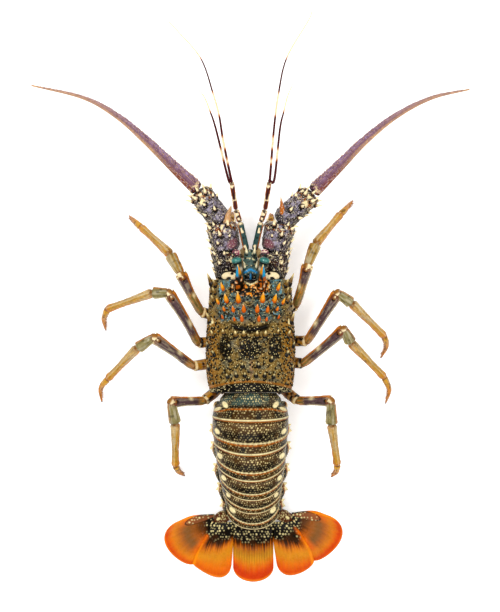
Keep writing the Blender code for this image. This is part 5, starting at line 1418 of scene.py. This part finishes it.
def abdomen_surface(place, turn, out, narrow=1.0):
    """The abdomen at places counted in rings and at turns, moved out by millimetres."""
    place, turn, out = np.broadcast_arrays(place, turn, out)
    place = place - np.cos(turn) ** 2 * np.interp(place, range(7), RING_BENDS)
    top_y, top_z, tilt, half, high, low = (
        np.interp(place, np.linspace(0, 6, TABLE_ROWS), plane_table[:, k]) for k in range(6))
    tilt = np.radians(tilt)
    rise = np.sin(turn) >= 0
    power = np.where(rise, 2 / 2.2, 2 / 3.5)
    across = np.sign(np.cos(turn)) * np.abs(np.cos(turn)) ** power * half * narrow
    up = np.sign(np.sin(turn)) * np.abs(np.sin(turn)) ** power * np.where(rise, high, low)
    swell = 1 + out / np.hypot(across, up)
    across, up = across * swell, up * swell - high
    return drifted(np.stack([across, top_y + up * np.sin(tilt), top_z + up * np.cos(tilt)], -1))


print("the abdomen's last ring ends at", abdomen_surface(6, np.pi / 2, 0).round(1))

# %% [markdown]
# Markings of a ring: pinkish grey at its front, greenish black behind with rows
# of tiny cream dots, a scalloped cream and orange line in the groove, and a
# cream line with a rust hem at the rear. A white spot marks each side. The dots
# are laid out in rows across the ring, so that they follow its curve.

# %% Finish of the abdomen
WHITE_SPOTS = (
    (19.0, 80.6, 2.2), (25.0, 100.6, 1.9), (23.4, 119.0, 2.0), (21.0, 135.6, 1.8), (18.0, 148.4, 1.6),
    (15.2, 159.8, 2.2),
)
PLEURON_TIPS = (
    (27.8, 81.8, 29.5), (29.6, 98.8, 20.0), (29.3, 112.1, 16.0), (27.9, 128.6, 11.0), (25.6, 143.0, 8.0),
    (23.3, 155.3, 7.0),
)
PLEURON_ROOT_LENGTHS = (4.4, 6.5, 6.0, 5.0, 4.0, 3.6)
abdomen_layers = (
    ("front", "60492e"), ("teal", "31423b"), ("brown", "402704"), ("orange", "a85708"), ("rust", "7b4102"),
    ("dark", BLACK), ("dots", "dac588"), ("cream", "ead9a2"), ("belly", "8a713e"),
)
abdomen_finish = chitin(
    "abdomen", "1c150a", abdomen_layers, mottle=(300.0, 0.35), specks=((700.0, 0.2, "7c6e48"),),
    rough=(0.18, 0.32), bump=0.1, coat=0.05,
)


def dotted(along, across, pitch, radius):
    """Dots in offset rows, each of its own size and shaken about its place, the smallest left out."""
    chance = np.random.default_rng(61).random((3, LATTICE, LATTICE))
    v = along / (pitch * HONEYCOMB_ROW)
    row = np.floor(v).astype(int)
    u = across / pitch + 0.5 * (row % 2)
    column = np.floor(u).astype(int)
    shake_u, shake_v, size = chance[:, row % LATTICE, column % LATTICE] - 0.5
    beside, beyond = u - column - 0.5 - 0.45 * shake_u, v - row - 0.5 - 0.45 * shake_v
    away = np.hypot(beside * pitch, beyond * pitch * HONEYCOMB_ROW)
    wide = radius * (1 + 0.9 * size)
    return soft(wide * 1.25, wide * 0.75, away) * (0.7 + 0.6 * size) * soft(-0.42, -0.25, size)


# %% Rings of the abdomen
RING_ROWS = 78
turn = np.concatenate([np.linspace(0, np.pi, 260), np.linspace(np.pi, 2 * np.pi, 36)[1:-1]])[None]
t = np.linspace(0, 1, RING_ROWS)[:, None]
upper = soft(-0.05, 0.15, np.sin(turn))
beside = np.abs(np.cos(turn))
for number in range(1, 7):
    groove_at = 0.6 if number > 1 else 0.49 + 0.16 * soft(0.45, 1.0, beside)
    teeth = 0.5 + 0.5 * np.cos(turn * 52)
    length = np.hypot(*np.diff(np.array(ABDOMEN_PLANES)[number - 1 : number + 1, :2], axis=0)[0])
    arc = turn * 27
    relief = -1.6 * soft(0.12, 0.0, t) - 0.9 * bell(t, groove_at, 0.03) + 0.3 * bell(t, 0.94, 0.03)
    relief = relief + 0.35 * soft(groove_at - 0.06, groove_at + 0.04, t) - 1.1 * soft(0.985, 1.0, t)
    dots = dotted(t * length, arc, 2.1, 0.42)
    relief = relief + 0.12 * dots + 0.2 * (field(t * 22, arc, 1.3, 200 + number) - 0.5)
    reach = number - 1 + t + 0.035 * soft(0.9, 1.0, t) * (number < 6)
    narrow = 1 - (0.1 * soft(0.55, 0.35, t) + 0.08 * soft(0.25, 0.0, t)) * (number == 1)
    grid = abdomen_surface(reach, turn, relief * upper, narrow)
    a, y = np.abs(grid[..., 0] - grid[..., 0].mean()), grid[..., 1]
    sx, sy, size = WHITE_SPOTS[number - 1]
    white = spot(a, y + 0.5 * (a - sx), (sx, sy), (size, size)) * (np.sin(turn) > 0)
    white = most(white, spot(a, y - 0.3 * (a - 24.4), (24.6, 83.8), (2.8, 1.2)) * (number == 1))
    line = groove_at + 0.03
    first, later = float(number == 1), float(number > 1)
    lip = 0.8 * bell(t, 0.97, 0.016) * (number < 6)
    trench = bell(t, groove_at - 0.03, 0.035 if number == 1 else 0.025)
    saddle = bell(t, 0.44, 0.12) * later * soft(0.8, 0.3, beside)
    scallops = bell(t, line, 0.01 + 0.012 * teeth) * later * 0.9
    thinned = soft(0.9, 0.88, t) * (1 - 0.5 * bell(t, 0.44, 0.1) * soft(0.7, 0.2, beside))
    masks = {
        "front": soft(0.4, 0.2, t) * later * (0.85 if number == 2 else 0.6) * soft(0.95, 0.5, beside),
        "teal": soft(0.5, 0.42, t) * first,
        "brown": soft(0.35, 0.65, field(t * length, arc, 5.0, 230 + number)) * 0.7,
        "orange": bell(t, line + 0.05, 0.03) * (0.5 + 0.5 * teeth) + lip,
        "rust": bell(t, 0.99, 0.02),
        "dark": most(trench, saddle) * 0.95,
        "dots": dots * (0.52 + 0.4 * soft(0.4, 0.2, t)) * thinned,
        "cream": most(most(scallops, bell(t, 0.935, 0.016)) * 0.9, white),
        "belly": soft(-0.02, -0.25, np.sin(turn)),
    }
    for key, mask in masks.items():
        masks[key] = np.clip(mask, 0, 1) * (1 if key == "belly" else upper)
    parts = [tube(grid, **masks)]
    tilt = np.radians(np.interp(number - 0.5, range(7), [plane[2] for plane in ABDOMEN_PLANES]))
    way_up = np.array((0.0, np.sin(tilt), np.cos(tilt)))
    for side in (1, -1):
        end = drifted(np.array(PLEURON_TIPS[number - 1]) * (side, 1, 1))
        root = end + 13.0 * way_up - (side * 5.2, 0, 0)
        s = np.linspace(0, 1, 50)[:, None]
        path = root + (end - root) * s + np.array((side * 1.0, -1.0, 0.0)) * np.sin(s * np.pi) * 0.8
        thin = (2.2 * (1 - s) + 0.4 * s) * rounded(s, 0.02, 0.1)
        long = (PLEURON_ROOT_LENGTHS[number - 1] * (1 - s**1.5) + 0.55 * s) * rounded(s, 0.02, 0.1)
        way_round = around(44)
        offsets = np.stack(np.broadcast_arrays(thin * np.cos(way_round), long * np.sin(way_round), 0 * s), -1)
        hem = 0.9 * soft(0.93, 1.0, np.abs(np.sin(way_round))[None]) * soft(0.2, 0.4, s)
        parts.append(tube(
            path[:, None] + offsets, cream=most(soft(0.42, 0.6, s), hem), orange=bell(s, 0.42, 0.08),
            dots=dotted(s * 12, way_round[None] * 2.6, 1.6, 0.35) * soft(0.6, 0.5, s),
        ))
        if number > 1:
            feet = end - (side * 2.2, -0.6, -3.2), end - (side * 1.6, 2.2, -2.6)
            ways = (side * 1.0, 0.35, -0.3), (side * 1.0, -0.5, -0.2)
            parts.append(studs(feet, ways, (4.2, 3.0), (2.4, 1.6), THORN, sides=12,
                               orange=(0.4, 0.1, 0.6), cream=(-0.1, 0.15, 0.95)))
    piece(f"abdomen_ring_{number}", parts, abdomen_finish, [f"abdomen_{number}"])

# %% [markdown]
# ## Swimmerets
# Soft leaf-shaped flaps hang in pairs below rings two to five. Each is a thin
# oval section carried down a slightly bent path, with a pale edge.

# %% Swimmerets
swimmeret_finish = chitin("swimmeret", "905d25", (("edge", "d7bb82"), ("dark", "51290e")),
                          mottle=(350.0, 0.4), rough=(0.35, 0.5), coat=0.05)
s = np.linspace(0, 1, 36)
wide = np.interp(s, (0, 0.3, 0.65, 1), (2.2, 4.2, 4.0, 0.8)) * rounded(s, 0.02, 0.12)
thick = np.interp(s, (0, 1), (0.9, 0.45)) * rounded(s, 0.02, 0.12)
turn = around(36)
veins = 0.12 * np.cos(6 * turn)[None] * np.sin(np.pi * s)[:, None]
flaps = []
for number in (2, 3, 4, 5):
    low = abdomen_surface(number - 0.65, np.array(1.5 * np.pi), 0.0)
    for side in (1, -1):
        root = drifted((side * 11.0, low[1], low[2] + 2.5))
        hang = min(8.4, root[2] - 5.0)
        tip = root + (side * 2.0, 4.2, -hang)
        path = through((root, (root + tip) / 2 + (side * 0.6, -0.6, 0), tip), 36)
        grid = carried(path, wide, thick, turn, veins)
        edge = soft(0.7, 0.95, np.abs(np.cos(turn)))[None]
        flaps.append(tube(grid, edge=edge, dark=bell(s, 0.1, 0.1)[:, None]))
piece("swimmerets", flaps, swimmeret_finish)
# %% [markdown]
# ## Tail fan
# The telson and four side blades lie spread on the floor. Each blade is a sheet
# between two edges: a point is found by how far it is from the hinge to the
# margin and how far across. Rays are waves across it that fade at the hinge.

# %% Blades of the tail fan
# Inner edge, outer edge, bow of the margin, its lean, rays, height of the root and lift of the sheet.
FAN_BLADES = {
    "telson": (((13.2, 168.0), (13.1, 203.0)), ((-16.8, 168.0), (-17.4, 203.0)), 11.3, 0.0, 9, 12.0, 0.0),
    "uropod_left_inner": (((12.0, 169.0), (12.7, 181.0), (14.2, 200.0)),
                          ((28.0, 169.5), (39.6, 190.0), (43.6, 199.8)), 10.1, -0.5, 7, 7.0, 0.5),
    "uropod_right_inner": (((-15.6, 169.0), (-16.8, 181.0), (-19.3, 197.0)),
                           ((-32.0, 168.5), (-44.0, 187.0), (-48.0, 198.0)), 11.6, -0.3, 7, 7.0, 0.5),
    "uropod_left_outer": (((27.4, 173.6), (38.4, 191.0), (42.4, 201.0)),
                          ((27.0, 163.0), (43.6, 164.4), (53.0, 168.1)), 15.5, 0.28, 7, 4.0, 0.0),
    "uropod_right_outer": (((-31.4, 172.6), (-42.8, 188.0), (-46.8, 198.2)),
                           ((-31.0, 162.0), (-47.0, 160.7), (-58.0, 164.0)), 14.8, 0.33, 7, 4.0, 0.0),
}
BLADE_ROWS, BLADE_COLUMNS = 118, 126


def blade(inner, outer, bow, lean, rays, root_height, lift):
    """Upper and lower grids of a blade, and its shares from hinge to margin and across.

    A point lies between the edges by its share across, and is pushed beyond the chord of the
    margin by the bow, times a half circle across it.
    """
    u = np.linspace(0, 1, BLADE_ROWS)[:, None]
    across = -np.cos(np.linspace(0, np.pi, BLADE_COLUMNS))[None]
    first, last = (through([(*point, 0.0) for point in edge], BLADE_ROWS) for edge in (inner, outer))
    share = (1 + across) / 2
    plan = first[:, None] * (1 - share[..., None]) + last[:, None] * share[..., None]
    chord = last[-1] - first[-1]
    beyond = np.cross(chord, (0.0, 0.0, 1.0)) / np.linalg.norm(chord)
    beyond = beyond * np.sign(beyond @ (first[-1] - first[0]))
    reach = u * bow * np.sqrt(1 - across**2) * (1 + lean * across)
    plan = plan + reach[..., None] * beyond
    floor = root_height * soft(0, 1, np.clip(1 - u / 0.5, 0, 1)) + lift * soft(0.02, 0.2, u)
    thick = 0.7 + 3.6 * np.clip(1 - u / 0.8, 0, 1) ** 1.5
    hard = soft(0.42, 0.3, u)
    ray = 0.22 * (0.5 - 0.5 * np.cos(2 * np.pi * rays * share)) * (1 - hard) * soft(1.0, 0.8, u)
    fine = 0.1 * np.cos(2 * np.pi * rays * 5 * share + 3 * field(u * 20, share * 60, 3.0, 301)) * (1 - hard)
    knobs = 0.45 * dotted(plan[..., 1] + 40, plan[..., 0] + 90, 2.4, 0.6) * hard
    edge = soft(0, 0.02, share) * soft(1, 0.98, share) * soft(1, 0.97, u)
    upper, lower = plan.copy(), plan.copy()
    lower[..., 2] = floor + 0.12 * (1 - edge)
    upper[..., 2] = floor + thick * (0.55 + 0.45 * edge) + (ray + fine + knobs) * edge
    return upper, lower, np.broadcast_to(u, edge.shape), np.broadcast_to(share, edge.shape)


print("each blade has", 2 * BLADE_ROWS * BLADE_COLUMNS, "points")

# %% [markdown]
# The blade is horny and spotted at its root, smoky brown beyond, then golden,
# and orange-red at its margin. The colours melt into each other along the rays,
# because a random field that is long from hinge to margin moves their borders.

# %% Build the tail fan
fan_layers = (
    ("red", "b83200"), ("gold", "b87a0e"), ("smoke", "2c1400"), ("haze", "74481c"), ("rib", "de7c06"),
    ("dark", BLACK), ("cream", "d4c489"), ("bead", "7a4526"),
)
fan_finish = chitin("fan", "cc5c00", fan_layers, mottle=(160.0, 0.16), rough=(0.22, 0.36), bump=0.06,
                    coat=0.05)
for name, shape in FAN_BLADES.items():
    upper, lower, u, share = blade(*shape)
    outer, telson = "outer" in name, name == "telson"
    redder = 0.35 if "right" in name else 0.0
    x, y = upper[..., 0], upper[..., 1]
    streak = field(share * 60, u * 4, 1.6, 310 + len(name)) - 0.5
    streak = streak + 0.5 * (field(share * 200, u * 6, 2.0, 311) - 0.5)
    level = u + 0.05 * streak
    inward = 0.12 * soft(0.6, 0.0, share) if outer else 0.0
    root_end = 0.34 if telson else 0.2 + 0.14 * soft(0.9, 0.0, share)
    far = u + 0.22 * (field(x, y, 3.5, 312) - 0.5)
    hard = soft(root_end + 0.05, root_end - 0.05, far)
    if telson:
        rays = 0.04 * np.cos(2 * np.pi * 16 * share)
        haze = 0.35 * soft(0.72, 0.5, level + 2 * rays)
        masks = {
            "red": soft(0.66, 0.9, level), "gold": bell(level, 0.6, 0.13),
            "smoke": most(soft(0.56, 0.36, level + rays + 0.1 * streak), haze),
        }
    elif outer:
        masks = {
            "red": soft(0.75, 1.0, level) + redder * soft(0.3, 0.6, level),
            "gold": bell(level, 0.72, 0.14) * 0.5,
            "haze": bell(level, 0.46, 0.2) * soft(0.02, 0.2, share) * soft(0.95, 0.7, share),
            "smoke": soft(0.46, 0.22, level + inward) * 0.95,
        }
    else:
        masks = {
            "red": soft(0.8, 1.02, level) * 0.6 + redder * soft(0.5, 0.9, level),
            "gold": bell(level, 0.62, 0.16) * 0.8,
            "smoke": soft(0.54, 0.34, level + 0.1 * streak) * soft(0.98, 0.8, share),
        }
    patch = spot(u, share, (0.24, 0.86), (0.25, 0.12), 0.15) if outer else 0.0 * u
    fading = soft(root_end + 0.08, root_end - 0.12, far)
    if outer:
        hard, fading = hard * soft(0.2, 0.1, u), fading * soft(0.2, 0.1, u)
    dots = dotted(y + 40, x + 90, 2.4, 0.58)
    border = bell(share, 0.97, 0.03) * (not telson) * soft(0.3, 0.45, u)
    masks.update(
        dark=most(hard, bell(patch, 0.4, 0.35) * (patch > 0.01)),
        cream=most(fading, patch) * dots,
        bead=soft(0.5, 0.9, patch) * 0.8 * (1 - dots),
        rib=border + 0.7 * bell(u, 0.985, 0.02) * (1 - redder),
    )
    piece(f"{name}_blade", [sheet(upper, lower, **masks)], fan_finish, [name])

# %% Root joints of the side blades
PROTOPOD_PATHS = (
    ((15.0, 163.0, 14.0), (21.5, 165.5, 11.5), (27.5, 169.0, 6.5)),
    ((-18.6, 162.5, 14.0), (-25.2, 164.5, 11.5), (-31.5, 168.0, 6.5)),
)
t = np.linspace(0, 1, 50)
wide, high = (
    np.interp(t, (0, 0.5, 1), sizes) * rounded(t, 0.15, 0.25) for sizes in ((4.2, 4.7, 3.5), (4.0, 3.8, 2.6))
)
turn = around(48)
s, w = t[:, None] * 14, turn[None] * 4
lumps = 0.5 * (field(s, w, 1.4, 330) - 0.5)
patch = spot(s, np.cos(turn)[None] * 4, (8.0, 0.0), (1.5, 0.9)) * (np.sin(turn) > 0)[None]
spots = most(dotted(s, w, 1.7, 0.42) * 0.8, patch)
root_parts = []
for points in PROTOPOD_PATHS:
    path = through(points, 50)
    root_parts.append(tube(carried(path, wide, high, turn, lumps), dark=0.9, cream=spots))
    spine = np.array((points[2], points[2])) + ((0, -1.0, 3.0), (0, 2.0, 3.0))
    root_parts.append(studs(spine, [(np.sign(points[0][0]) * 0.8, 1.0, 0.2)] * 2, 4.0, 1.1, THORN, sides=10,
                            dark=(0.5, 0.3, 1.0), cream=(0.3, 0.5, 1.0)))
piece("uropod_roots", root_parts, fan_finish)
# %% [markdown]
# ## Underside
# Below the thorax a flat breastplate joins the roots of the legs, and two hairy
# mouth legs fold under the head. Nobody sees them in the photograph, so their
# shapes are the usual ones for such an animal, in the belly's pale tan.

# %% Breastplate and mouth legs
belly_finish = chitin(
    "belly", "b79a66", (("groove", "6b4a2a"), ("cream", "e2d2a4"), ("dark", "4a3320")), mottle=(280.0, 0.4),
    specks=((420.0, 0.18, "7a5a34"),), rough=(0.3, 0.45), coat=0.05,
)
rows, columns = 150, 90
y = np.linspace(0, 70, rows)[:, None]
turn = around(columns)[None]
half = 6.0 + 11.0 * y / 70
x = np.sign(np.cos(turn)) * np.abs(np.cos(turn)) ** 0.5 * half
z = np.sign(np.sin(turn)) * np.abs(np.sin(turn)) ** 0.5 * 5.6
seam = sum(bell(y, 12.5 + 14.0 * k + 0.12 * np.abs(x), 0.7) for k in range(5)) + 0.8 * bell(x, 0, 0.7)
below = soft(-0.1, -0.5, np.sin(turn))
z = z + 0.55 * np.clip(seam, 0, 1) * below
plate = np.stack(np.broadcast_arrays(x, y, 20.1 + z), -1)
lumps = soft(0.55, 0.65, field(plate[..., 0], plate[..., 1], 2.4, 401))
plate_part = tube(plate, groove=np.clip(seam, 0, 1) * below, cream=lumps * 0.6)
piece("breastplate", [plate_part], belly_finish, ["sternum"])

MAXILLIPED_PATH = (
    (6.5, -0.5, 20.0), (8.5, -14.0, 19.5), (8.0, -30.0, 20.0), (5.0, -36.0, 14.0), (4.0, -27.0, 9.5),
)
MOUTH_HAIRS = 260
radii = (3.0, 3.3, 2.9, 2.3, 0.8)
for label, side in (("left", 1), ("right", -1)):
    points = np.array(MAXILLIPED_PATH) * (side, 1, 1)
    parts = []
    for k in range(4):
        t = np.linspace(0, 1, 44)
        line = points[k] + (points[k + 1] - points[k]) * t[:, None]
        radius = np.interp(t, (0, 0.5, 1), (radii[k], (radii[k] + radii[k + 1]) * 0.53, radii[k + 1]))
        radius = radius * rounded(t, 0.12, 0.12)
        rings = carried(line, radius * 0.85, radius, around(30))
        parts.append(tube(rings, cream=bell(t, 0.95, 0.1)[:, None], dark=bell(t, 0.05, 0.06)[:, None] * 0.6))
    draw = np.random.default_rng(410 + side)
    place = draw.uniform(0.3, 3.95, MOUTH_HAIRS)
    k = np.minimum(place.astype(int), 3)
    spot_on = points[k] + (points[k + 1] - points[k]) * (place - k)[:, None]
    along, up = draw.normal(0, 0.4, MOUTH_HAIRS), draw.normal(-0.4, 0.4, MOUTH_HAIRS)
    inward = unit(np.stack([np.full(MOUTH_HAIRS, -side * 1.0), along, up], -1))
    size = draw.uniform(0.9, 1.6, MOUTH_HAIRS)
    parts.append(studs(spot_on + inward * 1.8, inward, size, 0.1, HAIR, sides=4, dark=0.6))
    piece(f"mouth_leg_{label}", parts, belly_finish, [f"maxilliped_{label}"])

# %% Sizes and finish
visual_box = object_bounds()
sizes = {
    "cad": [[float(value) for value in corner] for corner in cad_box],
    "visual": [[float(value) for value in corner] for corner in visual_box],
}
print("solids", sizes["cad"])
print("dressed", sizes["visual"])
